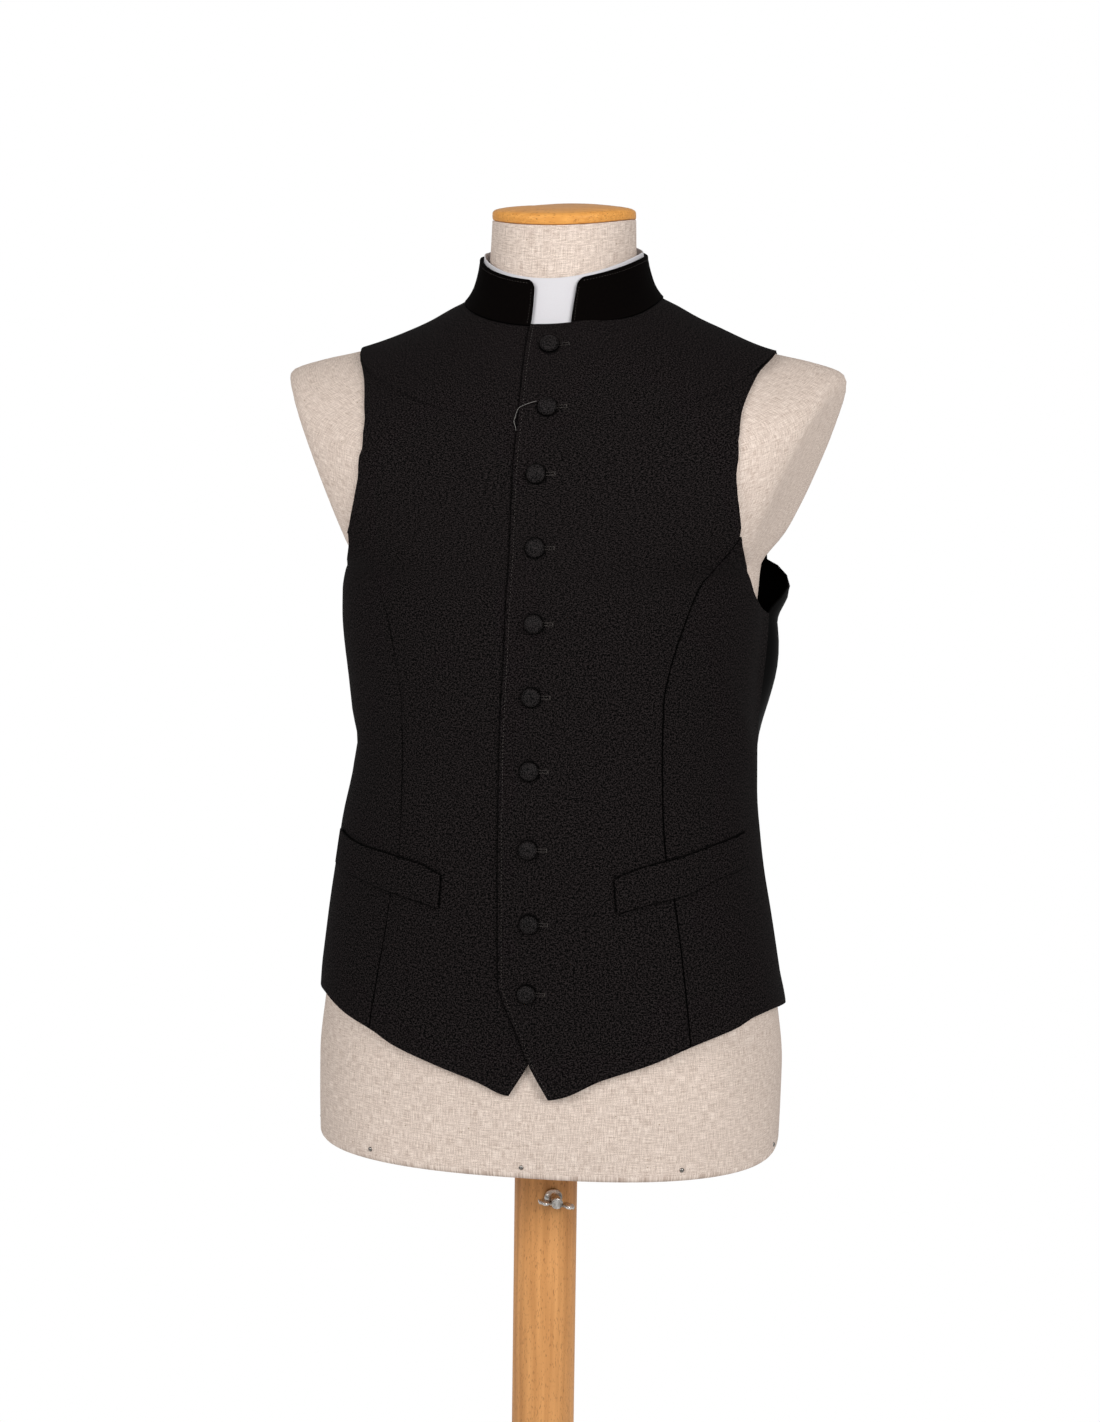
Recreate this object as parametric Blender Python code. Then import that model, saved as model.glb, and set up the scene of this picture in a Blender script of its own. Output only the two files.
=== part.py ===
"""A clergy vest on a limbless linen dress form that stands on a round beech foot.

Metres, +Z up. The origin is on the floor, under the middle of the pole. The front of the vest faces
-Y, and the wearer's left is +X. Tables are in millimetres, with heights above the form's lower rim.

A place on the form or on the cloth is a turn and a way. The turn is the angle round the body from the
centre front towards the wearer's left. The way goes up the side of the form in millimetres: it equals
the height as far as the chest, then follows the shoulder in to the neck, and goes up the neck.
"""

import bisect
import math

import bmesh
import bpy
from mathutils import Matrix, Vector

MM = 0.001
GAP = 0.3
QUARTER = math.pi / 2
HALVINGS = 26
SMALL_TURN = 0.02
SMALL_WAY = 2.0

# The stand, in millimetres
BUST_BOTTOM = 620.0
FOOT_DIAMETER = 380.0
FOOT_THICKNESS = 30.0
FOOT_EDGE = 6.0
FOOT_SIDES = 56
POLE_DIAMETER = 53.5
POLE_EDGE = 1.5
BORE_DIAMETER = 26.4
BORE_DEPTH = 430.0
ROD_DIAMETER = 25.0
ROD_LENGTH = 400.0
SOCKET_DEPTH = 60.0
ROD_EDGE = 1.0
FOOT_LOW_EDGE = 2.0
TURNED_SIDES = 32

# The wing screw, in millimetres. Its axis lies across the pole.
SCREW_DROP = 44.5
SCREW_TURN = math.radians(22)
SHANK_DIAMETER = 7.6
SHANK_HOLE = 9.0
SHANK_END = 0.6
FLANGE_DIAMETER = 15.5
FLANGE_THICKNESS = 5.0
FLANGE_EDGE = 1.5
HUB_DIAMETER = 10.0
HUB_LENGTH = 14.0
HUB_FILLET = 1.0
HUB_EDGE = 1.3
WING_SPAN = 31.0
WING_LENGTH = 10.0
WING_THICKNESS = 3.0
WING_EDGE = 1.2
WING_INSET = 1.0
WING_TILT = math.radians(12)
SCREW_SIDES = 20

# The form's rings. Each ring dips from the side towards the front and the back by way of its heights.
FORM_RINGS = (
    # way, side z, front z, back z, half width, side y, front y, back y, squareness
    (0, 0, 0, 0, 195.5, 13.5, -120.5, 147, 2.5),
    (35, 35, 35, 35, 196.5, 14, -121, 148, 2.45),
    (70, 70, 70, 70, 197.0, 15, -120.5, 148, 2.4),
    (120, 120, 120, 120, 192.0, 14, -121, 143, 2.35),
    (165, 165, 165, 165, 186.0, 11, -123, 136, 2.25),
    (215, 215, 215, 215, 178.0, 8, -125, 126, 2.2),
    (270, 270, 270, 270, 166.0, 5, -126, 112, 2.2),
    (330, 330, 330, 330, 153.0, 4, -123, 100, 2.2),
    (390, 390, 388, 392, 158.0, 4, -126, 105, 2.2),
    (440, 440, 436, 446, 166.0, 5, -129.5, 114, 2.2),
    (465, 465, 458, 476, 168.5, 6, -131, 119, 2.2),
    (490, 490, 476, 503, 170.5, 9, -131.5, 123, 2.15),
    (520, 520, 493, 527, 198.0, 13, -131.5, 127, 2.1),
    (560, 560, 514, 554, 222.0, 18, -130.5, 128, 2.05),
    (600, 600, 534, 580, 237.0, 22, -128.5, 126, 2.0),
    (630, 629, 551, 602, 240.0, 25, -126, 123, 2.0),
    (648, 646, 562, 618, 233.0, 27, -124.5, 120, 2.0),
    (675, 656, 579, 636, 206.0, 30, -121, 116, 2.0),
    (704, 662.5, 597, 655, 177.0, 32, -116, 111, 2.0),
    (743, 673, 624, 681, 140.0, 33, -106.5, 104, 2.0),
    (773, 684, 645, 699, 112.0, 32, -96, 97, 2.0),
    (795, 694.5, 661, 712, 92.0, 30, -85.5, 92, 2.0),
    (813, 703, 676, 722, 76.0, 29, -72, 89, 2.0),
    (831, 718, 694, 737, 66.0, 28, -59, 87, 2.0),
    (855, 741, 719, 756, 60.5, 28, -46, 87, 2.0),
    (881, 770.8, 760.8, 780.8, 59.5, 28, -31, 87, 2.0),
)
RING_DIP = 1.4
FORM_SIDES = 48
RIM_RADIUS = 5.0
SKIN_WAYS = (
    5, 40, 75, 120, 170, 220, 275, 330, 390, 440, 470, 490, 505, 520, 545, 575, 605, 630,
    650, 675, 704, 730, 752, 773, 790, 804, 813, 822, 831, 843, 858, 881,
)  # fmt: skip

# The flat arm plates: how far out they lie at one height, how far they lean out and turn forward,
# and the height where they meet the form's side
PLATE_OUT = {1: 193.0, -1: 185.5}
PLATE_HEIGHT = 541.0
PLATE_LEAN = {1: 0.4, -1: 0.43}
PLATE_TOE = 0.16
PLATE_LOW = 499.0
CUT_DEPTH = 200.0
CUT_LENGTH = 500.0
CUT_HEIGHT = 300.0
CUT_MIDDLE_Y = 20.0

# The neck cap's rings: how far in from the neck's outline, and how high over the neck's top
CAP_RINGS = ((1.2, 0.3), (0.2, 1.2), (0.0, 2.5), (0.0, 6.3), (0.6, 7.8), (2.5, 8.9), (22.0, 11.5))
CAP_RISE = 12.4

# Cloth, in millimetres
WOOL = 2.0
SATIN = 1.0
SEAM_GAP = 0.6
LAP_GAP = 0.8
LAP_START = 34.0
LAP_END = 62.0

# How far the inside of the vest stands off the form
EASE_ROWS = (
    # way, front, wearer's left side, wearer's right side, back
    (0, 3.0, 6.5, 3.0, 9.0),
    (120, 3.0, 6.5, 3.5, 11.0),
    (150, 3.0, 4.5, 5.0, 12.0),
    (220, 3.0, 3.2, 6.0, 15.0),
    (272, 3.5, 7.5, 9.0, 20.0),
    (330, 5.0, 17.0, 11.0, 24.0),
    (390, 5.0, 11.0, 10.5, 20.0),
    (440, 4.0, 6.5, 8.5, 12.0),
    (480, 3.5, 5.0, 5.5, 8.0),
    (540, 3.0, 4.0, 4.0, 5.0),
    (704, 3.0, 4.5, 2.6, 4.0),
    (812, 3.0, 6.0, 2.8, 3.2),
    (881, 3.0, 2.0, 3.0, 3.0),
)

# The largest folds, each a smooth hump over an oval of cloth
FOLDS = (
    # turn and way of its middle, half its size in turn and way, lean in degrees per mm, height in mm
    (105, 415, 22, 80, 0.0, 17.5),  # the left back stands off the waist
    (107, 476, 20, 34, 0.0, 19.5),  # and flares out at its armhole
    (-108, 470, 18, 120, 0.0, 9.0),  # the right back too, but less
    (64, 385, 9, 95, -0.29, 2.6),  # the slanting crease from the left front's seam to the waist
    (-76, 343, 16, 22, 0.0, -2.6),  # the short crease at the right waist
    (36, 92, 7, 70, 0.0, 1.8),  # waves of the left hem
    (55, 96, 7, 70, 0.0, 1.8),
    (150, 120, 18, 200, 0.0, 5.0),  # soft drapes of the satin back
    (-148, 120, 18, 200, 0.0, 5.0),
)

# Front edges: the left front's, which lies on top, and the right front's under it
FRONT_EDGES = (
    # way, left front's edge x, right front's edge x
    (69, 22.2, -10.0),
    (97, 6.4, 6.4),
    (119, -2.2, 14.8),
    (142, -12.0, 24.0),
    (153, -16.0, 28.0),
    (162, -18.2, 30.0),
    (210, -18.6, 30.0),
    (331, -18.8, 29.5),
    (452, -14.0, 30.5),
    (543, -11.1, 29.0),
    (646, -10.6, 29.0),
    (725, -8.8, 30.0),
    (812, -8.1, 30.0),
)

# The princess seams of the two fronts, which step outward under the pockets
PRINCESS_SEAMS = (
    # way, left x, right x
    (100, 133.0, -131.0),
    (115, 131.5, -129.5),
    (151, 127.2, -123.5),
    (195, 121.6, -115.5),
    (229, 116.5, -110.0),
    (262, 109.8, -103.2),
    (300, 106.6, -101.8),
    (349, 105.3, -101.8),
    (387, 105.8, -102.6),
    (417, 110.7, -107.3),
    (449, 119.7, -113.4),
    (481, 129.8, -125.0),
    (505, 140.9, -133.7),
    (526, 155.2, -145.0),
    (537, 160.7, -151.5),
)
PRINCESS_TOP = 537

# The armholes, from the underarm up the front and up the back, in degrees from the centre front
LEFT_ARMHOLE = (
    # way, front turn, back turn
    (452, 90, 90),
    (459, 80.5, 93.5),
    (472, 72.5, 101),
    (483, 69.5, 106),
    (497, 65.2, 111.7),
    (513, 56.0, 117.8),
    (521, 52.6, 120.5),
    (537, 48.8, 125.5),
    (567, 44.5, 131.5),
    (595, 41.9, 134.5),
    (617, 41.1, 135.5),
    (640, 41.8, 134.5),
    (656, 44.4, 131.5),
    (671, 49.1, 127),
    (684, 55.2, 120.5),
    (694, 62.2, 113),
    (701, 70.5, 104),
    (704, 90, 90),
)
RIGHT_ARMHOLE = (
    # way, front turn, back turn
    (452, 90, 90),
    (464, 78.0, 97),
    (483, 68.5, 106),
    (497, 62.5, 111.7),
    (513, 51.2, 118),
    (521, 47.6, 121),
    (534, 44.9, 125),
    (559, 40.7, 130.5),
    (589, 37.4, 134.5),
    (616, 36.0, 136),
    (642, 35.9, 135),
    (662, 39.2, 132),
    (684, 46.6, 124),
    (701, 55.6, 114),
    (709.5, 65.7, 104),
    (713, 90, 90),
)
UNDERARM = 452
UNDERARM_WAYS = (537, 521, 504, 488, 472, 459, 452)

# The hem and the neckline, right round the body
HEM_ROWS = (
    # turn in degrees, way
    (-180, 112.0),
    (-135, 114.0),
    (-100, 122.0),
    (-88, 126.0),
    (-66, 127.4),
    (-46, 116.2),
    (-38.2, 110.0),
    (-32.4, 101.9),
    (-21.8, 90.8),
    (-10.7, 79.1),
    (-3, 69.1),
    (6.4, 68.3),
    (9.7, 70.8),
    (18.4, 84.8),
    (29.8, 97.8),
    (38.1, 109.0),
    (52.7, 121.2),
    (61.1, 127.2),
    (70, 128.3),
    (79, 126.5),
    (90, 123.0),
    (120, 118.0),
    (180, 112.0),
)
NECK_ROWS = (
    # turn in degrees, way
    (-180, 812.0),
    (-90, 811.0),
    (0, 812.0),
    (20, 812.0),
    (36, 807.6),
    (57, 804.1),
    (70, 805.6),
    (90, 809.0),
    (180, 812.0),
)

# The rows of the panels' grids, between the hem and the neckline
LOW_WAY = 170
HEM_STEPS = 4
MIDDLE_WAYS = tuple(range(200, 441, 30))
CHEST_WAYS = (464, 489, 513, 537)
SHOULDER_SHARES = (0.18, 0.35, 0.5, 0.65, 0.77, 0.87, 0.94, 0.98, 1.0)
NECK_STEPS = 5
CENTRE_COLUMNS = 12
BACK_COLUMNS = 13

# The pocket welts: low and high edge at each turn, in degrees from the centre front
LEFT_WELT = (
    # turn, low way, high way
    (23.8, 220.5, 248.0),
    (32.0, 226.9, 256.5),
    (43.3, 233.0, 263.0),
    (54.0, 242.6, 269.0),
    (70.5, 248.8, 274.4),
)
RIGHT_WELT = (
    # turn, low way, high way
    (21.8, 218.6, 245.2),
    (28.7, 223.0, 252.7),
    (41.6, 228.7, 257.3),
    (50.0, 232.2, 258.7),
    (57.0, 233.5, 260.5),
    (68.0, 236.0, 265.0),
)
WELT_THICKNESS = 1.8
WELT_GAP = 0.7
WELT_COLUMNS = 12

# The standing collar: its ends, its top edge at the front and at the back, and its rounded corners
COLLAR_LEFT_X = 22.6
COLLAR_RIGHT_X = -8.2
COLLAR_FRONT_TOP = 849.0
COLLAR_BACK_TOP = 857.0
COLLAR_CORNER = 8.0
COLLAR_FLARE = 2.8
COLLAR_THICKNESS = 2.8
COLLAR_END_COLUMNS = (0.0, 1.0, 2.6, 5.0, 8.0)
COLLAR_COLUMNS = 36
COLLAR_ROWS = 4

# The white collar inside it: the inside's stand off the cloth's line at its foot and at its top
WHITE_THICKNESS = 1.3
WHITE_FOOT = -2.1
WHITE_TOP = 0.9
WHITE_FOOT_WAY = 810.0
WHITE_PROUD = 3.0
WHITE_ROWS = 5

# The buttons: where their middles lie, from the collar down
BUTTONS = (
    # x, way
    (9.8, 790.5),
    (13.2, 724.5),
    (7.7, 646.7),
    (8.8, 543.5),
    (8.6, 453.3),
    (6.6, 393.0),
    (5.3, 332.1),
    (5.3, 270.1),
    (6.6, 211.0),
    (4.9, 154.8),
)
BUTTON_PROFILE = ((0, 0.4), (6.6, 0.4), (7.6, 1.8), (6.4, 4.0), (3.4, 5.4), (0, 5.8))
BUTTON_SIDES = 16

# Colour, roughness and metallic of each look
LOOKS = {
    "wool": ((0.011, 0.010, 0.010), 0.9, 0.0),
    "satin": ((0.005, 0.005, 0.005), 0.35, 0.0),
    "collar wool": ((0.005, 0.004, 0.004), 0.9, 0.0),
    "white cotton": ((0.77, 0.75, 0.76), 0.6, 0.0),
    "button cloth": ((0.011, 0.010, 0.010), 0.7, 0.0),
    "linen": ((0.68, 0.57, 0.48), 0.9, 0.0),
    "varnished beech": ((0.72, 0.36, 0.12), 0.35, 0.0),
    "beech": ((0.65, 0.33, 0.12), 0.5, 0.0),
    "steel": ((0.45, 0.44, 0.42), 0.35, 1.0),
}


class Curves:
    """Smooth curves through the columns of a table against its first one, with no overshoot."""

    def __init__(self, rows):
        self.places = [row[0] for row in rows]
        self.columns = list(zip(*rows))[1:]
        self.slopes = [self.gentle_slopes(column) for column in self.columns]

    def gentle_slopes(self, column):
        steps = [(b - a) / (q - p) for a, b, p, q in zip(column, column[1:], self.places, self.places[1:])]
        between = [2 * a * b / (a + b) if a * b > 0 else 0.0 for a, b in zip(steps, steps[1:])]
        return [steps[0], *between, steps[-1]]

    def at(self, place):
        index = min(max(bisect.bisect_right(self.places, place), 1), len(self.places) - 1)
        start, end = self.places[index - 1], self.places[index]
        span = end - start
        s = min(max((place - start) / span, 0.0), 1.0)
        rise, lead, tail = s * s * (3 - 2 * s), s * (1 - s) ** 2 * span, s * s * (s - 1) * span
        values = []
        for column, slope in zip(self.columns, self.slopes):
            level = column[index - 1] * (1 - rise) + column[index] * rise
            values.append(level + slope[index - 1] * lead + slope[index] * tail)
        return values


FORM = Curves(FORM_RINGS)
EASE = Curves(EASE_ROWS)
EDGES = Curves(FRONT_EDGES)
PRINCESS = Curves(PRINCESS_SEAMS)
ARMHOLES = {1: Curves(LEFT_ARMHOLE), -1: Curves(RIGHT_ARMHOLE)}
WELTS = {1: Curves(LEFT_WELT), -1: Curves(RIGHT_WELT)}
HEM = Curves(HEM_ROWS)
NECKLINE = Curves(NECK_ROWS)


def form_point(turn, way):
    """A point of the form's skin, in millimetres, before its arms are cut off at the plates."""
    side_z, front_z, back_z, half_width, side_y, front_y, back_y, squareness = FORM.at(way)
    across, ahead = math.sin(turn), math.cos(turn)
    size = (abs(across) ** squareness + abs(ahead) ** squareness) ** (-1 / squareness)
    end_y, end_z = (front_y, front_z) if ahead > 0 else (back_y, back_z)
    share = size * abs(ahead)
    z = side_z + (end_z - side_z) * share**RING_DIP
    return Vector((half_width * across * size, side_y + (end_y - side_y) * share, z))


def form_normal(turn, way):
    """The direction straight out of the form's skin."""
    along = form_point(turn + SMALL_TURN, way) - form_point(turn - SMALL_TURN, way)
    up = form_point(turn, way + SMALL_WAY) - form_point(turn, way - SMALL_WAY)
    return along.cross(up).normalized()


def cloth_ease(turn, way):
    """How far the inside of the cloth stands off the form, in millimetres."""
    front, left, right, back = EASE.at(way)
    end = front if math.cos(turn) > 0 else back
    side = left if math.sin(turn) > 0 else right
    sideways = math.sin(turn) ** 2
    return end * (1 - sideways) + side * sideways


def bump(share):
    """A smooth hump that is 1 in the middle and 0 from a share of 1 outwards."""
    return (1 - share * share) ** 2 if abs(share) < 1 else 0.0


def cloth_folds(turn, way):
    """How far the folds lift the cloth at a place, in millimetres."""
    lift = 0.0
    for fold_turn, fold_way, half_turn, half_way, lean, height in FOLDS:
        up = way - fold_way
        aside = math.degrees(turn) - fold_turn - lean * up
        lift += height * bump(up / half_way) * bump(aside / half_turn)
    return lift


def cloth_point(turn, way, out=0.0):
    """A point over the form, in millimetres. Out is counted from the inside of the cloth."""
    stand = cloth_ease(turn, way) + cloth_folds(turn, way) + out
    return form_point(turn, way) + form_normal(turn, way) * stand


def turn_at(x, way):
    """The turn on the front half where the cloth at this way is x millimetres to the wearer's left."""
    low, high = -QUARTER, QUARTER
    for _ in range(HALVINGS):
        middle = (low + high) / 2
        if cloth_point(middle, way).x < x:
            low = middle
        else:
            high = middle
    return low


def front_lap(x):
    """How far the left front is lifted by the right front that lies under it, in millimetres."""
    share = min(max((LAP_END - x) / (LAP_END - LAP_START), 0.0), 1.0)
    return (WOOL + LAP_GAP) * share * share * (3 - 2 * share)


def spread(start, end, steps):
    """The values from start to end, both included, in equal steps."""
    return [start + (end - start) * index / steps for index in range(steps + 1)]


def aside(place, distance):
    """The place, moved along its ring by a distance in millimetres."""
    turn, way = place
    step = form_point(turn + SMALL_TURN, way) - form_point(turn - SMALL_TURN, way)
    reach = step.length / (2 * SMALL_TURN)
    return Vector((turn + distance / reach, way))


def patch(bottom, top, left, right):
    """A place for each column and row, blended from four lists of places that share their corners."""
    columns, rows = len(bottom) - 1, len(left) - 1
    places = {}
    for column in range(columns + 1):
        for row in range(rows + 1):
            u, t = column / columns, row / rows
            along = left[row] * (1 - u) + right[row] * u
            up = bottom[column] * (1 - t) + top[column] * t
            low = left[0] * (1 - u) + right[0] * u
            high = left[-1] * (1 - u) + right[-1] * u
            places[column, row] = along + up - (low * (1 - t) + high * t)
    return places


def new_part(name, shape, look):
    """Makes a named object with its own material from a finished shape, and empties the shape."""
    colour, roughness, metallic = LOOKS[look]
    bmesh.ops.recalc_face_normals(shape, faces=shape.faces)
    if shape.calc_volume(signed=True) < 0:
        bmesh.ops.reverse_faces(shape, faces=shape.faces)
    mesh = bpy.data.meshes.new(name)
    shape.to_mesh(mesh)
    shape.free()
    material = bpy.data.materials.new(name)
    material.use_nodes = True
    surface = material.node_tree.nodes["Principled BSDF"]
    surface.inputs["Base Color"].default_value = (*colour, 1.0)
    surface.inputs["Roughness"].default_value = roughness
    surface.inputs["Metallic"].default_value = metallic
    mesh.materials.append(material)
    part = bpy.data.objects.new(name, mesh)
    bpy.context.scene.collection.objects.link(part)
    return part


def to_world(point):
    """From millimetres above the form's lower rim to metres above the floor."""
    return (point + Vector((0, 0, BUST_BOTTOM))) * MM


def sheet(name, columns, rows, place, look):
    """A wall of cloth: place gives a point in millimetres for a column, a row, and a face 0 or 1."""
    shape = bmesh.new()
    bmesh.ops.create_grid(shape, x_segments=columns, y_segments=rows, size=0.5)
    outer = bmesh.ops.extrude_face_region(shape, geom=shape.faces[:])["geom"]
    bmesh.ops.translate(shape, vec=(0, 0, 1), verts=[item for item in outer if hasattr(item, "co")])
    for vert in shape.verts:
        column = round((vert.co.x + 0.5) * columns)
        row = round((vert.co.y + 0.5) * rows)
        vert.co = to_world(place(column, row, round(vert.co.z)))
    return new_part(name, shape, look)


def wrapped(name, sides, rings, place, look, drop=BUST_BOTTOM):
    """A closed body of rings: place gives a point in millimetres for an angle and a ring's number.

    The first and last rings close it, by shrinking to a point or by lying on each other.
    """
    shape = bmesh.new()
    bmesh.ops.create_grid(shape, x_segments=sides, y_segments=rings - 1, size=0.5)
    for vert in shape.verts:
        angle = (vert.co.x + 0.5) * 2 * math.pi
        ring = round((vert.co.y + 0.5) * (rings - 1))
        vert.co = (place(angle, ring) + Vector((0, 0, drop))) * MM
    bmesh.ops.remove_doubles(shape, verts=shape.verts, dist=0.01 * MM)
    return new_part(name, shape, look)


def turned(name, sides, profile, look, frame=Matrix.Identity(4), drop=0.0):
    """A round body from a profile of radius and height in millimetres, set in a frame."""

    def place(angle, ring):
        radius, height = profile[ring]
        return frame @ Vector((radius * math.cos(angle), radius * math.sin(angle), height))

    return wrapped(name, sides, len(profile), place, look, drop)


def shoulder_end(side):
    """The way of the armhole's top, where it meets the shoulder seam."""
    return ARMHOLES[side].places[-1]


def row_ways(side, hem_way, neck_way, with_underarm=False):
    """The ways of a long panel's rows at one of its edges, from the hem to the neckline."""
    ways = spread(hem_way, LOW_WAY, HEM_STEPS) + list(MIDDLE_WAYS)
    if with_underarm:
        ways.append(UNDERARM)
    ways += CHEST_WAYS
    ways += [PRINCESS_TOP + (shoulder_end(side) - PRINCESS_TOP) * share for share in SHOULDER_SHARES]
    return ways + spread(shoulder_end(side), neck_way, NECK_STEPS)[1:]


def front_edge(side):
    """The front edge of one front, up from the hem's point."""
    column = 0 if side > 0 else 1
    turns = {}
    for way in row_ways(side, FRONT_EDGES[0][0], NECKLINE.at(0)[0]):
        turns[way] = turn_at(EDGES.at(way)[column], way)
    return [Vector((turn, way)) for way, turn in turns.items()]


def princess_place(side, way):
    column = 0 if side > 0 else 1
    return Vector((turn_at(PRINCESS.at(way)[column], way), way))


def princess_foot(side):
    """Where the princess seam meets the hem."""
    way = LOW_WAY
    for _ in range(8):
        place = princess_place(side, way)
        way = HEM.at(math.degrees(place.x))[0]
    return way


def outer_edge(side, ways, front):
    """A long panel's edge by the side: its seam up to the armhole, the armhole, and the shoulder seam."""
    column = 0 if front else 1
    places = []
    for way in ways:
        if front and way <= PRINCESS_TOP:
            place = aside(princess_place(side, way), -side * SEAM_GAP / 2)
        elif UNDERARM < way < shoulder_end(side):
            place = Vector((side * math.radians(ARMHOLES[side].at(way)[column]), way))
        else:
            inward = -side if front else side
            place = aside(Vector((side * QUARTER, way)), inward * SEAM_GAP / 2)
        places.append(place)
    return places


def along(line, start_turn, end_turn, steps):
    """Places along the hem or the neckline."""
    return [Vector((turn, line.at(math.degrees(turn))[0])) for turn in spread(start_turn, end_turn, steps)]


def front_centre(side, name):
    """The front from its edge to the princess seam, the armhole and the shoulder."""
    foot, neck = princess_foot(side), NECKLINE.at(side * 90)[0]
    left = front_edge(side)
    right = outer_edge(side, row_ways(side, foot, neck - GAP), True)
    places = patch(
        along(HEM, left[0].x, right[0].x, CENTRE_COLUMNS),
        [place - Vector((0, GAP)) for place in along(NECKLINE, left[-1].x, right[-1].x, CENTRE_COLUMNS)],
        left,
        right,
    )

    def place(column, row, face):
        turn, way = places[column, row]
        lap = front_lap(form_point(turn, way).x) if side > 0 else 0.0
        return cloth_point(turn, way, lap + WOOL * face)

    return sheet(name, CENTRE_COLUMNS, len(left) - 1, place, "wool")


def front_side(side, name):
    """The front's side panel, from the princess seam to the side seam, under the armhole."""
    seam_ways = spread(princess_foot(side), LOW_WAY, HEM_STEPS) + list(MIDDLE_WAYS) + list(CHEST_WAYS)
    left = [aside(princess_place(side, way), side * SEAM_GAP / 2) for way in seam_ways]
    side_hem = HEM.at(side * 90)[0]
    side_ways = spread(side_hem, LOW_WAY, HEM_STEPS) + list(MIDDLE_WAYS)
    side_ways += spread(MIDDLE_WAYS[-1], UNDERARM, len(CHEST_WAYS))[1:]
    right = [aside(Vector((side * QUARTER, way)), -side * SEAM_GAP / 2) for way in side_ways]
    top = [Vector((side * math.radians(ARMHOLES[side].at(way)[0]), way)) for way in UNDERARM_WAYS]
    top[0], top[-1] = left[-1], right[-1]
    columns = len(top) - 1
    places = patch(along(HEM, left[0].x, right[0].x, columns), top, left, right)

    def place(column, row, face):
        return cloth_point(*places[column, row], WOOL * face)

    return sheet(name, columns, len(left) - 1, place, "wool")


def back(side, name):
    """One half of the back, from the centre seam to the side seam, the armhole and the shoulder."""
    side_hem, neck = HEM.at(side * 90)[0], NECKLINE.at(side * 90)[0]
    right = outer_edge(side, row_ways(side, side_hem, neck - GAP, True), False)
    middle_ways = row_ways(side, HEM.at(180)[0], NECKLINE.at(180)[0] - GAP, True)
    left = [aside(Vector((side * math.pi, way)), -side * SEAM_GAP / 2) for way in middle_ways]
    places = patch(
        along(HEM, left[0].x, right[0].x, BACK_COLUMNS),
        [place - Vector((0, GAP)) for place in along(NECKLINE, left[-1].x, right[-1].x, BACK_COLUMNS)],
        left,
        right,
    )

    def place(column, row, face):
        return cloth_point(*places[column, row], SATIN * face)

    return sheet(name, BACK_COLUMNS, len(left) - 1, place, "satin")


def welt(side, name):
    """A pocket's raised welt, laid over the front panels and their seam."""
    rows = LEFT_WELT if side > 0 else RIGHT_WELT

    def place(column, row, face):
        turn = rows[0][0] + (rows[-1][0] - rows[0][0]) * column / WELT_COLUMNS
        low, high = WELTS[side].at(turn)
        out = WOOL + WELT_GAP + WELT_THICKNESS * face
        return cloth_point(side * math.radians(turn), low + (high - low) * row / 2, out)

    return sheet(name, WELT_COLUMNS, 2, place, "wool")


def collar_top(turn):
    """The way of the collar's top edge."""
    share = (1 + math.cos(turn)) / 2
    return COLLAR_BACK_TOP + (COLLAR_FRONT_TOP - COLLAR_BACK_TOP) * share**2


def collar_band():
    """The standing band, from its left end round the back to its right end."""
    foot_way = NECKLINE.at(0)[0]
    starts = [turn_at(COLLAR_LEFT_X, way) for way in (foot_way, COLLAR_FRONT_TOP)]
    ends = [2 * math.pi + turn_at(COLLAR_RIGHT_X, way) for way in (foot_way, COLLAR_FRONT_TOP)]
    length = 2 * math.pi * cloth_point(QUARTER, foot_way).x
    stretch = [distance / length for distance in COLLAR_END_COLUMNS]
    shares = stretch + spread(stretch[-1], 1 - stretch[-1], COLLAR_COLUMNS)[1:-1]
    shares += [1 - share for share in reversed(stretch)]

    def place(column, row, face):
        share, rise = shares[column], row / COLLAR_ROWS
        start = starts[0] + (starts[1] - starts[0]) * rise
        end = ends[0] + (ends[1] - ends[0]) * rise
        turn = start + (end - start) * share
        inward = COLLAR_CORNER - min(share, 1 - share) * length
        corner = COLLAR_CORNER - math.sqrt(COLLAR_CORNER**2 - inward**2) if inward > 0 else 0.0
        front_turn = turn - 2 * math.pi if turn > math.pi else turn
        foot = NECKLINE.at(math.degrees(front_turn))[0] + GAP
        way = foot + (collar_top(turn) - corner - foot) * rise
        return cloth_point(turn, way, COLLAR_FLARE * rise + COLLAR_THICKNESS * face)

    return sheet("collar_band", len(shares) - 1, COLLAR_ROWS, place, "collar wool")


def white_collar():
    """The white collar, a closed ring just inside the band."""
    up = spread(0.0, 1.0, WHITE_ROWS)
    section = [(rise, 0) for rise in up] + [(rise, 1) for rise in reversed(up)] + [(0.0, 0)]

    def place(turn, ring):
        rise, face = section[ring]
        top = collar_top(turn) + WHITE_PROUD
        way = WHITE_FOOT_WAY + (top - WHITE_FOOT_WAY) * rise
        return cloth_point(turn, way, WHITE_FOOT + (WHITE_TOP - WHITE_FOOT) * rise + WHITE_THICKNESS * face)

    return wrapped("white_collar", FORM_SIDES, len(section), place, "white cotton")


def button(number, x, way):
    """A domed button on the left front."""
    turn = turn_at(x, way)
    out = form_normal(turn, way)
    across = form_point(turn + SMALL_TURN, way) - form_point(turn - SMALL_TURN, way)
    across = (across - out * across.dot(out)).normalized()
    frame = Matrix((across, out.cross(across), out)).transposed().to_4x4()
    frame.translation = cloth_point(turn, way, WOOL + front_lap(x))
    turned(f"button_{number:02d}", BUTTON_SIDES, BUTTON_PROFILE, "button cloth", frame, BUST_BOTTOM)


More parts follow.
